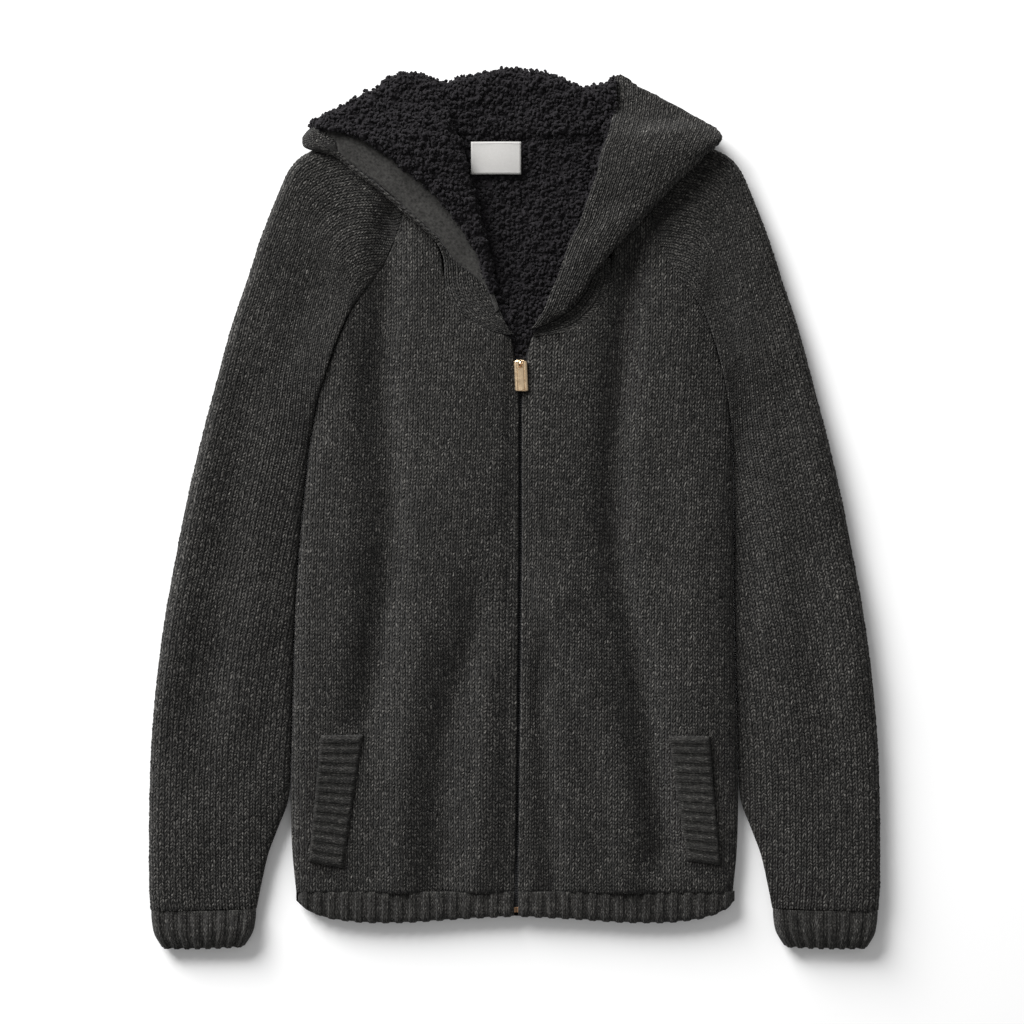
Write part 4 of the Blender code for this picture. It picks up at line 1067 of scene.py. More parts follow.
@dataclass
class Sleeves:
    """Both raglan sleeves and their ribbed cuffs."""

    gauge: Gauge = SLEEVE_GAUGE
    straight_to: float = 60.0
    widest: float = 131.0
    cuff_ribs: int = 8
    rib_height: float = 1.7
    cuff_overlap: float = 0.9
    fold_roll: float = 12.0
    lip_roll: float = 9.0
    crevice_roll: float = 56.0
    crevice_lip: dict[int, float] = field(default_factory=lambda: {-1: 0.45, 1: 0.05})

    def build(self) -> None:
        """Makes both sleeves with their cuffs."""
        for side in (-1, 1):
            self.sleeve(side)
            self.cuff(side)

    def sleeve(self, side: int) -> None:
        """One sleeve, flattened round its outer fold, its wales following that fold."""
        table = np.array(SLEEVE, float)
        order = np.arange(len(table))
        lean = through(LEAN, table[:, 1])
        seam = np.stack([side * table[:, 0] + lean, table[:, 1]], axis=1)
        neck = np.clip(1 - order / 3, 0, 1)
        fold = np.stack([side * table[:, 2] + lean * neck, table[:, 3]], axis=1)
        behind = np.stack([side * table[:, 4] + through(LEAN, table[:, 5]), table[:, 5]], axis=1)
        at = evenly(fold, self.gauge.course / 2)
        seam, fold, behind = sampled(seam, at), sampled(fold, at), sampled(behind, at)
        height = np.interp(at, order, table[:, 6])[:, None]
        roll = np.interp(at, order, table[:, 7])[:, None]
        quarter = self.gauge.wale / 4
        close = np.concatenate([[0.0, 0.12, 0.5], np.arange(quarter, self.straight_to, quarter)])
        shares = np.linspace(0, 1, int((self.widest - self.straight_to) / quarter))
        width = span(fold, seam)
        spread = self.straight_to + shares[None, :] * (width - 1.4 - self.straight_to)
        out = np.concatenate(
            [close[None, :] + 0 * width, spread, width - np.array([[0.9, 0.5, 0.2, 0.0]])], axis=1
        )
        upper = fold[:, None, :] + (seam - fold)[:, None, :] * (out / width)[..., None]
        from_seam = width - out
        near = self.crevice_lip[side]
        slope = ease(from_seam / self.crevice_roll)
        tucked = near * rounded(from_seam, self.lip_roll) + (1 - near) * slope
        shape = rounded(out, self.fold_roll) * (1 - roll + roll * tucked)
        x, y = upper[..., 0], upper[..., 1]
        rows_down = (np.arange(len(at)) * self.gauge.course / 2)[:, None]
        to_cuff = rows_down[-1] - rows_down
        shared = fold_relief(FOLDS, x, y) * (1 - roll) * (1 - ease((from_seam - 20) / 50))
        top = height + shared + fold_relief(SLEEVE_FOLDS, np.abs(x), y)
        top = top + 0.6 * np.sin(y / 39 + side) * np.sin(x / 31)
        top = (
            top + 0.9 * crumple(x, y, 2.0 + side) - 0.9 * (1 - rounded(from_seam, 3.5)) * (1 - roll)
        )
        z = SIDE_SEAM_Z + (top - SIDE_SEAM_Z) * shape * (0.9 + 0.1 * rounded(to_cuff, 5))
        back_width = span(fold, behind)
        under_share = [0.004, 0.015, 0.04, 0.08, 0.2, 0.4, 0.6, 0.8, 0.92, 0.96, 0.985, 1.0]
        under_share = np.array([under_share])
        lower = (
            fold[:, None, :]
            + (behind - fold)[:, None, :] * (under_share + 0 * back_width)[..., None]
        )
        from_fold, to_seam = under_share * back_width, (1 - under_share) * back_width
        under_z = (
            SIDE_SEAM_Z
            * (1 - rounded(from_fold, SIDE_ROLL) * (1 - roll + roll * rounded(to_seam, SIDE_ROLL)))
        )
        grid = np.concatenate([raised(upper, z)[:, ::-1], raised(lower, under_z)], axis=1)
        u = np.concatenate([out[:, ::-1], -from_fold], axis=1) / self.gauge.wale
        v = rows_down / self.gauge.course + 0 * u
        relief = stitch_relief(u, v, self.gauge.depth)
        relief[:, out.shape[1]:] = 0.0
        relief[:, :out.shape[1]] *= (ease(from_seam / 2) * ease((out + 0.4) / 2))[:, ::-1]
        grid = embossed(grid, relief, SIDE_SEAM_Z)
        name = sided("sleeve", side)
        sew(
            name, "knit", grid, layers(u, v), Slot.KNIT, Sheet((0.34, 0.82), 0.17, Hold.FOLDED),
            core=SIDE_SEAM_Z,
        )

    def cuff(self, side: int) -> None:
        """One cuff, a flattened ribbed tube with its end turned in."""
        rows = sampled(np.array(CUFF, float), np.linspace(0, len(CUFF) - 1, 18))
        share = np.linspace(0, 1, self.cuff_ribs * 16 + 1)
        upper = np.concatenate([share[:1], [0.004, 0.015], share[1:-1], [0.985, 0.996], share[-1:]])
        lower = np.array([0.997, 0.985, 0.95, 0.85, 0.7, 0.5, 0.3, 0.15, 0.05, 0.015, 0.003, 0.0])
        across = np.sort(upper)
        line = np.concatenate([across, lower])
        is_upper = np.arange(len(line)) < len(across)
        rib = rib_relief(line * self.cuff_ribs) * is_upper
        grid, marks = [], []
        # The end turned in: row, how flat it is, how far in it lies, how far back
        inner = [(18, 0.86, 5.0, 0.0), (18, 0.55, 5.5, 6.0), (18, 0.5, 5.5, 16.0)]
        places = [(index, 1.0, 0.0, 0.0) for index in range(len(rows))] + inner
        for number, (index, squash, inset, back) in enumerate(places):
            x_in, y_in, x_out, y_out, top = rows[min(index, len(rows) - 1)]
            inside = inset > 0
            width = x_out - x_in - 2 * inset
            x = x_in + inset + width * line
            y = (
                y_in + (y_out - y_in) * line - 1.2 * np.sin(np.pi * line) + back
                + (self.cuff_overlap if number == 0 else 0.0)
            )
            from_edge = np.minimum(line, 1 - line) * width
            full = rounded(from_edge, top / 2) * squash
            end = 1 - 0.25 * ease((number - 13) / 5.0)
            z = np.where(is_upper, top / 2 + top / 2 * full * end, top / 2 * (1 - full * end))
            if not inside:
                stand = self.rib_height * rib * ease(from_edge / 4) * (0.6 if number == 0 else 1.0) * end
                z = z + stand
                y = y - 1.1 * rib * (number / 17) ** 4
            grid.append(np.stack([side * x, y, z], axis=1))
            course = np.full(len(line), number * 2.0 / RIB_GAUGE.course)
            marks.append(np.stack([line * self.cuff_ribs * 4, course], axis=1))
        name = sided("cuff", side)
        sew(
            name, "rib", np.array(grid), np.array(marks), Slot.RIB,
            Sheet((0.2, 0.06), 0.0112, Hold.FOLDED), core=CUFF[0][4] / 2,
        )


@dataclass
class Pockets:
    """The two ribbed pocket welts."""

    fronts: dict[int, Object]
    samples: int = 12
    loft: float = 2.2
    rib_height: float = 1.3

    def build(self) -> None:
        """Makes both welts."""
        for side in (-1, 1):
            self.welt(side)

    def welt(self, side: int) -> None:
        """One welt, sewn along its inner side and standing open along its outer one."""
        name = sided("pocket_welt", side)
        corners = np.array(WELTS[side], float)
        ground = Ground([self.fronts[side]])
        coarse = np.linspace(0, 1, 14)[:, None]
        starts = corners[0] + (corners[2] - corners[0]) * coarse
        ends = corners[1] + (corners[3] - corners[1]) * coarse
        plan = plan_of(starts, ends, np.linspace(0, 1, 7))
        floor = smoothed(ground.heights(plan, 3.0), 2)
        rows, columns = WELT_RIBS * self.samples + 1, 26
        grid = refined(raised(plan, floor), rows, columns)
        length = float(np.linalg.norm(corners[2] - corners[0]))
        width = float(np.linalg.norm(corners[1] - corners[0]))
        along, across = np.linspace(0, 1, rows)[:, None], np.linspace(0, 1, columns)[None, :]
        rib = (
            rib_relief(along * WELT_RIBS) * ease(across * width / 3)
            * ease((1 - across) * width / 2)
        )
        edge = rounded(across * width, 2.5) * rounded((1 - across) * width, 2.5)
        ends_down = rounded(along * length, 3.0) * rounded((1 - along) * length, 3.0)
        grid[..., 2] += (
            0.4 + 1.6 * across + self.loft * edge * ends_down + self.rib_height * rib * ends_down
        )
        marks = layers(along * WELT_RIBS * 4, across * width / RIB_GAUGE.course)
        grid, marks = with_edges(grid, marks, (0.9, 2.2), 0.5, "sefl")
        sew(
            name, "rib", grid, marks, Slot.RIB,
            Sheet((0.04, 0.13), 0.0044, rests_on=(sided("front", side),)),
        )


def opened_tree(name: str, sizes: dict[str, str]) -> tuple[Graph, bpy.types.NodeOutputs]:
    """Starts a Geometry Nodes group that takes a geometry, named sizes and a finish.

    Args:
        name: the group's name.
        sizes: the kind of each size, by name.

    Returns:
        Its graph and what it is given.
    """
    tree = bpy.data.node_groups.new(name, "GeometryNodeTree")
    for label, kind in {"Geometry": "Geometry", **sizes, "Finish": "Material"}.items():
        tree.interface.new_socket(label, in_out="INPUT", socket_type=f"NodeSocket{kind}")
    tree.interface.new_socket("Geometry", in_out="OUTPUT", socket_type="NodeSocketGeometry")
    graph = Graph(tree)
    return graph, graph.add("NodeGroupInput").outputs


def closed_tree(graph: Graph, spread: Node, finish: NodeSocket) -> NodeTree:
    """Makes the instances real, gives them their finish and puts them out."""
    real = graph.add("GeometryNodeRealizeInstances", {0: spread.outputs[0]})
    dressed = graph.add(
        "GeometryNodeSetMaterial", {"Geometry": real.outputs[0], "Material": finish}
    )
    graph.add("NodeGroupOutput", {0: dressed.outputs[0]})
    return graph.tree


def tuft_tree() -> NodeTree:
    """Geometry Nodes that grow curled tufts of yarn on a surface.

    Returns:
        The node group, with its sizes as named inputs.
    """
    sizes = {"Spacing": "Float", "Curl": "Float", "Yarn": "Float", "Seed": "Int"}
    graph, given = opened_tree("curled_tufts", sizes)
    points = graph.add("GeometryNodeDistributePointsOnFaces", distribute_method="POISSON")
    graph.feed(points.inputs["Mesh"], given["Geometry"])
    graph.feed(points.inputs["Distance Min"], given["Spacing"])
    graph.feed(points.inputs["Density Max"], 400000.0)
    graph.feed(points.inputs["Seed"], given["Seed"])
    curl = graph.add("GeometryNodeCurveSpiral", {
        "Resolution": 7, "Rotations": 0.8, "Start Radius": given["Curl"],
        "End Radius": graph.mul(given["Curl"], 0.45), "Height": graph.mul(given["Curl"], 0.9),
    })
    ring = graph.add("GeometryNodeCurvePrimitiveCircle", {"Resolution": 5, "Radius": given["Yarn"]})
    strand = graph.add(
        "GeometryNodeCurveToMesh",
        {"Curve": curl.outputs[0], "Profile Curve": ring.outputs[0], "Fill Caps": True},
    )
    soft = graph.add("GeometryNodeSetShadeSmooth", {0: strand.outputs[0]})
    lean = graph.add("FunctionNodeRandomValue", data_type="FLOAT_VECTOR")
    lean.inputs[0].default_value = (-0.8, -0.8, 0.0)
    lean.inputs[1].default_value = (0.8, 0.8, math.tau)
    grow = graph.add("FunctionNodeRandomValue", data_type="FLOAT")
    grow.inputs[2].default_value, grow.inputs[3].default_value = 0.7, 1.25
    graph.feed(grow.inputs["Seed"], 7)
    spread = graph.add(
        "GeometryNodeInstanceOnPoints",
        {
            "Points": points.outputs["Points"], "Instance": soft.outputs[0],
            "Rotation": lean.outputs[0], "Scale": grow.outputs[1],
        },
    )
    return closed_tree(graph, spread, given["Finish"])


def bead_tree() -> NodeTree:
    """Geometry Nodes that set beads along a route, for stitches and zip teeth.

    Returns:
        The node group, with its sizes as named inputs.
    """
    graph, given = opened_tree("beads_along", {"Pitch": "Float", "Size": "Vector", "Turn": "Float"})
    route = graph.add("GeometryNodeMeshToCurve", {0: given["Geometry"]})
    steps = graph.add("GeometryNodeResampleCurve", mode="LENGTH")
    graph.feed(steps.inputs["Curve"], route.outputs[0])
    graph.feed(steps.inputs["Length"], given["Pitch"])
    bead = graph.add("GeometryNodeMeshUVSphere", {"Segments": 8, "Rings": 6, "Radius": 0.5})
    smooth = graph.add("GeometryNodeSetShadeSmooth", {0: bead.outputs[0]})
    tangent = graph.add("GeometryNodeInputTangent")
    facing = graph.add(
        "FunctionNodeAlignRotationToVector", {"Vector": tangent.outputs[0]}, axis="X"
    )
    swing = graph.add("ShaderNodeCombineXYZ", {2: given["Turn"]})
    turned = graph.add(
        "FunctionNodeRotateRotation", {0: facing.outputs[0], 1: swing.outputs[0]},
        rotation_space="LOCAL",
    )
    spread = graph.add(
        "GeometryNodeInstanceOnPoints",
        {
            "Points": steps.outputs[0], "Instance": smooth.outputs[0],
            "Rotation": turned.outputs[0], "Scale": given["Size"],
        },
    )
    return closed_tree(graph, spread, given["Finish"])


def grown(source: Object, tree: NodeTree, name: str, values: dict[str, object]) -> Object:
    """Runs a node group on an object and keeps the result as a plain mesh.

    Args:
        source: the object whose geometry goes in.
        tree: the node group.
        name: the new piece's name.
        values: the group's inputs by name.

    Returns:
        The new object.
    """
    modifier = source.modifiers.new("grow", "NODES")
    modifier.node_group = tree
    for item in tree.interface.items_tree:
        if item.item_type == "SOCKET" and item.in_out == "INPUT" and item.name in values:
            modifier[item.identifier] = values[item.name]
    bpy.context.view_layer.update()
    graph = bpy.context.evaluated_depsgraph_get()
    mesh = bpy.data.meshes.new_from_object(
        source.evaluated_get(graph), preserve_all_data_layers=True, depsgraph=graph
    )
    source.modifiers.remove(modifier)
    mesh.name = name
    return linked(name, mesh)


def rested(thing: Object) -> Object:
    """Presses what would dip below the surface flat against it."""
    places = np.empty(len(thing.data.vertices) * 3)
    thing.data.vertices.foreach_get("co", places)
    places[2::3] = np.maximum(places[2::3], LEAST * MM)
    thing.data.vertices.foreach_set("co", places)
    thing.data.update()
    return thing


@dataclass
class Beads:
    """Rows of stitches or teeth along routes of points in millimetres."""

    tree: NodeTree = field(default_factory=bead_tree)

    def row(
        self, name: str, routes: Sequence[Sequence[Sequence[float]]], pitch: float,
        size: Sequence[float], slot: Slot, turn: float = 0.0,
    ) -> Object:
        """Sets one row of beads.

        Args:
            name: the piece's name.
            routes: the routes that it follows.
            pitch: the distance from bead to bead, in millimetres.
            size: a bead's length, width and height, in millimetres.
            slot: its finish's slot.
            turn: how far each bead is turned from its route, in radians.

        Returns:
            The piece.
        """
        guide = bpy.data.meshes.new("guide")
        points, edges = [], []
        for route in routes:
            first = len(points)
            points += [tuple(np.array(point) * MM) for point in route]
            edges += [(first + index, first + index + 1) for index in range(len(route) - 1)]
        guide.from_pydata(points, edges, [])
        carrier = linked("guide", guide)
        values = {
            "Pitch": pitch * MM, "Size": tuple(np.array(size) * MM), "Turn": turn,
            "Finish": finish_of(slot),
        }
        thing = grown(carrier, self.tree, name, values)
        bpy.data.objects.remove(carrier)
        return place_piece(thing, [])


@dataclass
class PileMaker:
    """Curly pile: a bobbly base with tufts of curled yarn grown on it."""

    bobble: float = 3.4
    bobble_size: float = 6.2
    spacing: float = 3.7
    curl: float = 2.0
    yarn: float = 1.25
    tree: NodeTree = field(default_factory=tuft_tree)

    def lay(self, node: str, grid: Array, sheet: Sheet, seed: int) -> None:
        """Makes one pile piece.

        Args:
            node: the solid that it stands for.
            grid: its points.
            sheet: what it is as cloth; not used.
            seed: sets its own tufts.
        """
        bumps = np.array([
            [abs(noise.noise(Vector(point) / self.bobble_size)) for point in row]
            for row in grid.tolist()
        ])
        rows, columns = grid.shape[:2]
        marks = np.stack(np.meshgrid(np.arange(columns) / 4, np.arange(rows) / 4), axis=2)
        surface = embossed(grid, self.bobble * 2 * bumps)
        base = cloth_mesh(f"{node}_pile", surface, marks, Slot.PILE)
        values = {
            "Spacing": self.spacing * MM, "Curl": self.curl * MM, "Yarn": self.yarn * MM,
            "Seed": seed, "Finish": finish_of(Slot.PILE),
        }
        tufts = rested(grown(rested(base), self.tree, f"{node}_tufts", values))
        place_piece(tufts, [])
        place_piece(base, [node])


@dataclass
class Neck:
    """The pile inside the back of the neck, and the bare label on it."""

    pile: PileMaker
    beads: Beads
    level: float = 14.5
    label_size: tuple[float, float] = (46.0, 30.0)
    label_place: tuple[float, float] = (-17.0, 323.0)
    label_rise: float = 6.6
    seam_rise: float = 7.1
    seam_inset: float = 1.6

    def build(self) -> None:
        """Makes the lining and the label."""
        rows = np.array(sorted(NECK_LINING), float)
        lean = through(LEAN, rows[:, 0])
        starts = np.stack([lean - rows[:, 1], rows[:, 0]], axis=1)
        ends = np.stack([lean + rows[:, 1], rows[:, 0]], axis=1)
        plan = plan_of(starts, ends, np.linspace(0, 1, 9))
        height = (
            np.full(plan.shape[:2], self.level - 1.5) - 5.0 * (1 - ease((plan[..., 1] - 146) / 22))
        )
        height[:, (0, -1)] -= 2.0
        grid = refined(raised(plan, height), 96, 80)
        self.pile.lay("neck_lining", grid, Sheet((0.17, 0.21), 0.026, rests_on=("back",)), 11)
        self.label()

    def label(self) -> None:
        """The woven label, bare, stitched along its top and bottom edges."""
        width, length = self.label_size
        across, up = np.meshgrid(np.linspace(-0.5, 0.5, 25), np.linspace(-0.5, 0.5, 17))
        x, y = self.label_place[0] + across * width, self.label_place[1] + up * length
        z = self.level + self.label_rise + 0.5 * np.sin(across * 5 + 1) + 0.4 * np.cos(up * 4)
        marks = layers(across, up)
        grid, marks = with_edges(layers(x, y, z), marks, (0.4, 0.8), 0.2, "sefl")
        sew(
            "neck_label", "bare", grid, marks, Slot.LABEL,
            Sheet((width * MM, length * MM), rests_on=("neck_lining",)),
        )
        edge_x, edge_y = width / 2 - self.seam_inset, length / 2 - self.seam_inset
        centre = np.array([*self.label_place, self.level + self.seam_rise])
        seams = [
            [centre + (px, py, 0) for px in (-sign * edge_x, sign * edge_x)]
            for sign, py in ((1, edge_y), (-1, -edge_y))
        ]
        self.beads.row("label_stitches", seams, 1.9, (1.5, 0.4, 0.35), Slot.LABEL)


@dataclass
class Hood:
    """The hood: its opened right half, its centre back and its folded left half."""

    pile: PileMaker
    beads: Beads
    gauge: Gauge = HOOD_GAUGE
    cloth: float = 4.5
    loft: float = 10.5
    flatness: float = 0.76
    shell_rows: int = 190
    shell_columns: int = 90
    lip_columns: int = 17

    def build(self) -> None:
        """Makes every piece of the hood."""
        self.right_shell()
        self.right_lining()
        self.facing()
        self.centre_back()
        self.left_base()
        self.left_half()

    def right_shell(self) -> None:
        """The right half's knit: the lip outside the facing, and the strip down to the zip."""
        opened = np.array(OPENED_HALF[:OPENED_ON_BODY], float)
        strip = np.array(RIGHT_STRIP, float)
        inward = strip[:, 2:4] - strip[:, :2]
        inward /= np.linalg.norm(inward, axis=1, keepdims=True)
        crease_rows = np.concatenate([opened[:, :2], strip[:, :2]])
        turn = np.concatenate([opened[:, 4:6], strip[:, 2:4] - 2.5 * inward])
        edge = np.concatenate([opened[:, 6:8], strip[:, 2:4]])
        fine = np.linspace(0, len(crease_rows) - 1, 48)
        crease, turn, edge = sampled(crease_rows, fine), sampled(turn, fine), sampled(edge, fine)
        within = plan_of(crease, turn, np.array([0, 0.1, 0.3, 0.5, 0.7, 0.85, 0.95, 1.0]))
        lip = plan_of(turn, edge, np.array([0.34, 0.67, 1.0]))
        plan = np.concatenate([within, lip], axis=1)
        under = (
            Ground(["sleeve_right", "front_right", "back", "neck_lining"]).heights(plan, 10.0)
            + self.cloth
        )
        height = np.maximum(
            under * (fine[:, None] < OPENED_ON_BODY), Ground(["hood_right"]).heights(plan, 3.0)
        )
        grid = raised(plan, smoothed(height, 3))
        rows, inner, outer = self.shell_rows, self.shell_columns, self.lip_columns
        turned = within.shape[1]
        shell = refined(grid[:, :turned], rows, inner)[:, :-1]
        grid = np.concatenate([shell, refined(grid[:, turned - 1:], rows, outer)], axis=1)
        place = np.linspace(0, len(crease_rows) - 1, rows)[:, None]
        lobe = ease((place - LIP_FIRST + 1) / 1.5) * ease((LIP_LAST + 0.3 - place) / 1.2)
        on_body = ease((OPENED_ON_BODY - place) / 1.5)
        across = np.concatenate([np.zeros(inner - 1), np.linspace(0, 1, outer)])[None, :]
        ring = np.sqrt(np.maximum(0.0, 1 - (2 * across - 1) ** 2))
        grid[..., 2] += (
            (across > 0) * on_body * (ring * (1.2 + 4.0 * lobe) - across**3 * (1.5 + 2.5 * lobe))
        )
        to_edge = np.linalg.norm(grid - grid[:, -1:], axis=2)
        u = to_edge / self.gauge.wale
        v = np.arange(rows)[:, None] * 0.5 + 0 * u
        grid = embossed(
            grid, stitch_relief(u, v, self.gauge.depth) * ease(to_edge / 1.5) * (1 - 0.7 * lobe)
        )
        grid, marks = with_edges(grid, layers(u, v), (1.5, 3.6), 1.0, "ls")
        sew(
            "hood_right", "knit", grid, marks, Slot.KNIT,
            Sheet((0.2, 0.28), 0.0235, rests_on=("front_right", "sleeve_right")),
        )
        route = [tuple(point + np.array([0, 0, 0.9])) for point in grid[72:150:3, -12]]
        self.beads.row("hood_lip_stitches", [route], 3.6, (2.8, 0.8, 0.7), Slot.FACING)

    def right_lining(self) -> None:
        """The pile of the opened half."""
        opened = np.array(OPENED_HALF, float)
        fine = np.linspace(0, len(opened) - 1, 34)
        plan = plan_of(
            sampled(opened[:, :2], fine), sampled(opened[:, 2:4], fine), np.linspace(0.0, 1.0, 12)
        )
        floor = np.maximum(
            Ground(["hood_right"]).heights(plan, 4.0),
            Ground(["neck_lining", "back"]).heights(plan, 4.0),
        )
        grid = refined(raised(plan, smoothed(floor, 3)), 124, 96)
        share = np.linspace(0, 1, grid.shape[1])[None, :]
        width = span(grid[:, 0, :2], grid[:, -1, :2])
        along = np.linspace(0, 1, grid.shape[0])[:, None]
        rim = np.minimum(share, 1 - share) * width
        loft = self.loft * (0.35 + 0.65 * rounded(rim, 9)) * (0.5 + 0.5 * rounded(along * 200, 8))
        grid[..., 2] = smoothed(grid[..., 2], 8) + loft * ease((1.08 - along) / 0.3)
        grid, _ = with_edges(grid, grid[..., :2], (3.0, 7.0), 1.5, "sfl")
        self.pile.lay(
            "hood_right_lining", grid, Sheet((0.18, 0.22), 0.019, rests_on=("hood_right",)), 3
        )

    def facing(self) -> None:
        """The plain band inside the hood's opening, from the tip down to the zip."""
        opened = np.array(OPENED_HALF[LIP_FIRST:], float)
        inner, outer = opened[:, 2:4], opened[:, 4:6]
        inner = inner + (opened[:, :2] - inner) * 0.03
        inner = np.concatenate([inner, [(-14.0, 184.0)]])
        outer = np.concatenate([outer, [(-17.0, 181.0)]])
        fine = np.linspace(0, len(inner) - 1, 40)
        plan = plan_of(sampled(inner, fine), sampled(outer, fine), np.linspace(0, 1, 7))
        under = Ground(["sleeve_right", "front_right"]).heights(plan, 10.0) + self.cloth
        height = np.maximum(under * (fine[:, None] < 8), Ground(["hood_right"]).heights(plan, 3.0))
        grid = refined(raised(plan, smoothed(height, 3)), 150, 30)
        share, along = np.linspace(0, 1, 30)[None, :], np.linspace(0, 1, 150)[:, None]
        width = span(grid[:, 0, :2], grid[:, -1, :2])
        ripple = 0.5 * np.sin(along * 19 + 2 * share) * np.sin(share * math.pi)
        crown = 2.4 * np.sin(share * math.pi) ** 0.8 * ease(width / 16)
        grid[..., 2] += 1.5 + ripple + crown - 1.2 * (1 - rounded((1 - share) * width, 2.5))
        grid, marks = with_edges(grid, grid[..., :2] / 2, (1.0, 2.4), 0.8, "sel")
        sew(
            "hood_facing", "jersey", grid, marks, Slot.FACING,
            Sheet((0.045, 0.27), 0.0075, rests_on=("hood_right",)),
        )

    def centre_back(self) -> None:
        """The hood's centre back: knit on the surface and pile over it."""
        ups, shares = np.linspace(0, 1, 9), np.linspace(0, 1, 13)
        for node, inset, slot in (
            ("hood_back", 4.0, Slot.KNIT), ("hood_back_lining", 0.0, Slot.PILE)
        ):
            top_x = -72.0 + 166.0 * shares
            top_y = through(HOOD_TOP, top_x) - inset
            foot_x = -62.0 + 154.0 * shares
            x = foot_x[None, :] + (top_x - foot_x)[None, :] * ups[:, None]
            y = NECK_SEAM_Y + (top_y - NECK_SEAM_Y)[None, :] * ups[:, None]
            z = np.full(x.shape, 2.0 if slot is Slot.KNIT else 15.0)
            grid = refined(layers(x, y, z), 48 if slot is Slot.PILE else 40, 96)
            up = np.linspace(0, 1, grid.shape[0])[:, None]
            if slot is Slot.KNIT:
                grid[..., 2] = 3.5 * (1 - rounded((1 - up) * 50, 6))
                marks = layers(grid[..., 0] / self.gauge.wale, grid[..., 1] / self.gauge.course)
                sew(node, "knit", grid, marks, Slot.KNIT, Sheet((0.17, 0.06), 0.009), core=ABOVE)
            else:
                share = np.linspace(0, 1, grid.shape[1])[None, :]
                grid[..., 2] -= (
                    9.0 * (1 - rounded((1 - up) * 55, 10)) + 4.0 * (1 - rounded(up * 55, 5))
                )
                grid[..., 2] += 1.6 * np.sin(share * 9 + 1) * np.sin(up * math.pi)
                grid, _ = with_edges(grid, grid[..., :2], (2.0, 4.0), 2.0, "e")
                self.pile.lay(node, grid, Sheet((0.17, 0.07), 0.0105, rests_on=("hood_back",)), 5)

    def left_base(self) -> None:
        """The left half's lowest strip, sewn inside the neckline."""
        table = sampled(np.array(LEFT_STRIP, float), np.linspace(0, len(LEFT_STRIP) - 1, 24))
        plan = plan_of(table[:, :2], table[:, 2:4], np.array([0.05, 0.25, 0.5, 0.75, 1.04]))
        height = smoothed(Ground(["hood_base_left", "front_left"]).heights(plan, 2.0), 1)
        grid = refined(raised(plan, height), 76, 30)
        grid[..., 2] = smoothed(grid[..., 2], 6)
        u = np.linspace(5, 0, 30)[None, :] + np.zeros((76, 1))
        v = np.arange(76)[:, None] * 0.5 + 0 * u
        grid = embossed(grid, stitch_relief(u, v, self.gauge.depth))
        grid, marks = with_edges(grid, layers(u, v), (1.2, 2.6), 0.6, "fle")
        sew(
            "hood_base_left", "knit", grid, marks, Slot.KNIT,
            Sheet((0.05, 0.1), 0.0026, rests_on=("back",)),
        )

    def left_half(self) -> None:
        """The left half, folded over with its knit up, and the pile seen at its free edge."""
        table = np.array(LEFT_FLAP, float)
        free, fold = table[:, :2], table[:, 2:4]
        spots = np.array([0.0, 0.05, 0.18, 0.32, 0.46, 0.58, 0.7, 0.85, 1.0])
        ground = Ground(
            [
                "back", "front_right", "front_left", "sleeve_left", "sleeve_right", "neck_lining",
                "hood_base_left",
            ]
        )
        floor = smoothed(ground.heights(plan_of(free, fold, spots), 16.0), 1)
        at = evenly(free, self.gauge.course / 2)
        rows = len(at)
        free, fold = sampled(free, at), sampled(fold, at)
        height = self.flatness * np.interp(at, np.arange(len(table)), table[:, 4])[:, None]
        floor = refined_at(floor[..., None], at)[..., 0]
        width = span(free, fold)
        near_fold = np.array([0.95, 0.965, 0.978, 0.988, 0.995, 0.999])
        share = np.concatenate([np.linspace(0, 0.93, 118), near_fold])[None, :]
        under = np.array([[1.0, 0.998, 0.99, 0.975, 0.955, 0.93, 0.9, 0.85, 0.7]])
        half, turn = height / 2, np.minimum(height / 2, 0.36 * width)

        def ground_at(shares: Array) -> Array:
            """The height under the flap at these shares of each row."""
            return np.array([np.interp(shares[0], spots, line) for line in floor])

        crown = 1 + 0.06 * np.sin(np.pi * share)
        edge = 0.70 + 0.08 * rounded(share * width, 7) + 0.22 * ease(share * width / 60)
        route = free[:, None, :] + (fold - free)[:, None, :] * share[..., None]
        soft = (
            0.9 * crumple(route[..., 0], route[..., 1], 5.0) * ease(share * width / 12)
            * ease((1 - share) * width / 10)
        )
        top = (
            ground_at(share) + half
            + (height * crown * edge - half) * rounded((1 - share) * width, turn) + soft
        )
        below = ground_at(under) + half - half * rounded((1 - under) * width, turn)
        under_route = free[:, None, :] + (fold - free)[:, None, :] * under[..., None]
        grid = np.concatenate([
            raised(route, smoothed(top, 4)), raised(under_route, below),
        ], axis=1)
        u = np.concatenate([share, 2 - under], axis=1) * width / self.gauge.wale
        v = np.arange(rows)[:, None] * 0.5 + 0 * u
        relief = stitch_relief(u, v, self.gauge.depth)
        relief[:, share.shape[1]:] = 0.0
        grid = embossed(grid, relief * ease((u * self.gauge.wale + 0.4) / 1.5))
        grid, marks = with_edges(grid, layers(u, v), (1.6, 4.5), 1.6, "f")
        grid, marks = with_edges(grid, marks, (2.0, 6.0), 2.5, "se")
        sew(
            "hood_left", "knit", grid, marks, Slot.KNIT,
            Sheet((0.2, 0.28), 0.026, Hold.FOLDED, ("front_left", "sleeve_left")),
        )
        self.left_pile(free, fold, width, height, floor, spots)

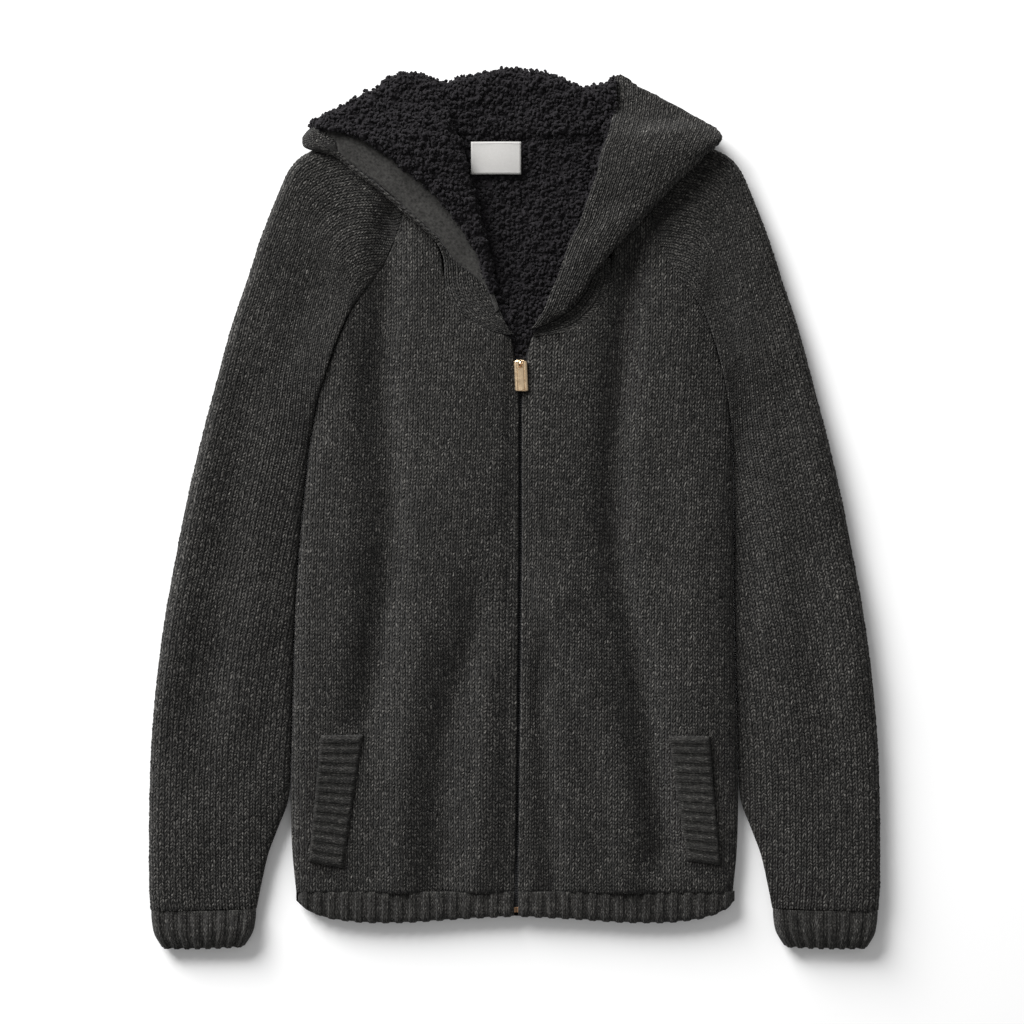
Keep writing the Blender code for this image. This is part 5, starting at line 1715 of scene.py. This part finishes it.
    def left_pile(
        self, free: Array, fold: Array, width: Array, height: Array, floor: Array, spots: Array
    ) -> None:
        """The pile between the folded layers, bulging a little at the top of the free edge."""
        rows = slice(None, None, 2)
        along = np.linspace(0, 1, len(free))[rows, None]
        proud = 7.0 * (1 - ease((along - 0.1) / 0.22)) - 3.0
        lines = [
            (0.25, -7.0, 0.0), (0.16, -6.0, 0.0), (0.08, -4.5, 0.0), (0.0, -2.5, 0.4),
            (0.0, 0.0, 0.8), (0.0, 1.0, 1.0), (0.0, 1.6, 0.9), (0.0, 1.9, 0.7),
        ]
        way = (fold - free)[rows] / width[rows]
        ground = np.array([np.interp(0.0, spots, line) for line in floor])[rows, None]
        top = ground + height[rows] * 0.74 - self.cloth
        depth = top - ground - 2.0
        grid = []
        for share, drop, bulge in lines:
            place = free[rows] + way * (share * width[rows] + 2.0 - bulge * (2.0 + proud))
            level = top + drop if drop < 0 else top - drop / 1.9 * depth
            grid.append(
                np.concatenate(
                    [place, np.maximum(np.broadcast_to(level, (len(place), 1)), 2.0)], axis=1
                )
            )
        grid = refined(np.array(grid).swapaxes(0, 1), 120, 30)
        self.pile.lay(
            "hood_left_lining", grid, Sheet((0.26, 0.08), 0.0085, Hold.FOLDED, ("hood_left",)), 9
        )


@dataclass
class Zip:
    """The zip: tapes, coil teeth, slider, pull and stops."""

    beads: Beads
    tape_level: float = 10.8
    tape_width: float = 11.0
    tape_gap: float = 2.6
    coil_level: float = 11.9
    coil_out: float = 1.05
    tooth_pitch: float = 1.55
    tooth_size: tuple[float, float, float] = (1.15, 2.6, 1.5)
    tooth_turn: float = 0.35

    def build(self) -> None:
        """Makes the tapes and teeth, and finishes the metal parts."""
        for side in (-1, 1):
            self.tape(side)
        self.teeth()
        for node, slot in (
            ("zip_slider", Slot.GOLD), ("zip_pull", Slot.GOLD), ("zip_stop_left", Slot.BRONZE),
            ("zip_stop_right", Slot.BRONZE),
        ):
            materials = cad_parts[node].data.materials
            materials.clear()
            materials.append(finish_of(slot))

    def tape(self, side: int) -> None:
        """One woven tape under the front's edge."""
        name = sided("zip_tape", side)
        rows = (
            [(y, self.tape_gap) for y in np.linspace(-371, 124, 60)]
            + [(136, 3.6), (147, 6.2), (156.5, 7.7)]
        )
        near = np.array([(straight(ZIP_LINE, y) + side * gap, y) for y, gap in rows])
        far = near + np.array([side * self.tape_width, 0.0])
        plan = plan_of(near, far, np.linspace(0, 1, 6))
        grid = raised(plan, self.tape_level)
        sew(
            name, "woven", grid, grid[..., :2], Slot.TAPE, Sheet((0.0115, 0.53), rests_on=("back",))
        )

    def teeth(self) -> None:
        """The coil, as two rows of crossing beads."""
        ys = np.linspace(ZIP_FOOT_Y, CHAIN_TOP_Y, 90)
        for side in (-1, 1):
            route = [
                (float(straight(ZIP_LINE, y)) + side * self.coil_out, y, self.coil_level)
                for y in ys
            ]
            turn = -side * self.tooth_turn
            self.beads.row(
                    sided("zip_coil", side), [route], self.tooth_pitch, self.tooth_size, Slot.TAPE,
                    turn,
                )
        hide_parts("zip_chain")


@dataclass
class Studio:
    """The pale floor, the soft lights and the camera straight above."""

    centre: tuple[float, float] = (-2.3, -2.3)
    frame_width: float = 942.0
    height: float = 2.5
    sensor: float = 36.0
    sky: float = 0.33
    floor_half: float = 6.0
    floor_level: float = -0.0006

    def build(self) -> None:
        """Makes the floor, the lights and the camera."""
        self.floor()
        self.light("key", (-2.45, 3.25, 2.05), 2.8, 500.0)
        self.light("fill", (0.8, -0.6, 3.0), 2.4, 6.0)
        world = bpy.data.worlds.new("studio")
        world.use_nodes = True
        background = world.node_tree.nodes["Background"]
        background.inputs[0].default_value = (1.0, 1.0, 1.0, 1.0)
        background.inputs[1].default_value = self.sky
        bpy.context.scene.world = world
        bpy.context.scene.view_settings.view_transform = "Standard"
        data = bpy.data.cameras.new("camera")
        data.sensor_width = self.sensor
        data.lens = self.sensor * (self.height - FRONT_LEVEL * MM) / (self.frame_width * MM)
        data.clip_end = 20.0
        camera = linked("camera", data)
        camera.location = (self.centre[0] * MM, self.centre[1] * MM, self.height)
        bpy.context.scene.camera = camera

    def floor(self) -> None:
        """A plain pale floor."""
        mesh = bpy.data.meshes.new("floor")
        corners = ((-1, -1), (1, -1), (1, 1), (-1, 1))
        points = [(x * self.floor_half, y * self.floor_half, self.floor_level) for x, y in corners]
        mesh.from_pydata(points, [], [(0, 1, 2, 3)])
        material = bpy.data.materials.new("pale_floor")
        material.use_nodes = True
        shader = material.node_tree.nodes["Principled BSDF"]
        shader.inputs["Base Color"].default_value = (0.9, 0.9, 0.9, 1.0)
        shader.inputs["Roughness"].default_value = 0.9
        mesh.materials.append(material)
        linked("floor", mesh)

    def light(
        self, name: str, place: tuple[float, float, float], size: float, power: float
    ) -> None:
        """One square area light that looks at the garment's middle."""
        data = bpy.data.lights.new(name, "AREA")
        data.size = size
        data.energy = power
        lamp = linked(name, data)
        lamp.location = place
        lamp.rotation_euler = (-Vector(place)).to_track_quat("-Z", "Y").to_euler()


def main() -> None:
    """Builds every sub-assembly."""
    logging.basicConfig(level=logging.INFO, format="%(name)s %(message)s")
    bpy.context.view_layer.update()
    beads, pile = Beads(), PileMaker()
    body = Body()
    body.build()
    Sleeves().build()
    Pockets(body.fronts).build()
    Neck(pile, beads).build()
    Hood(pile, beads).build()
    Zip(beads).build()
    Studio().build()


if __name__ == "__main__":
    main()
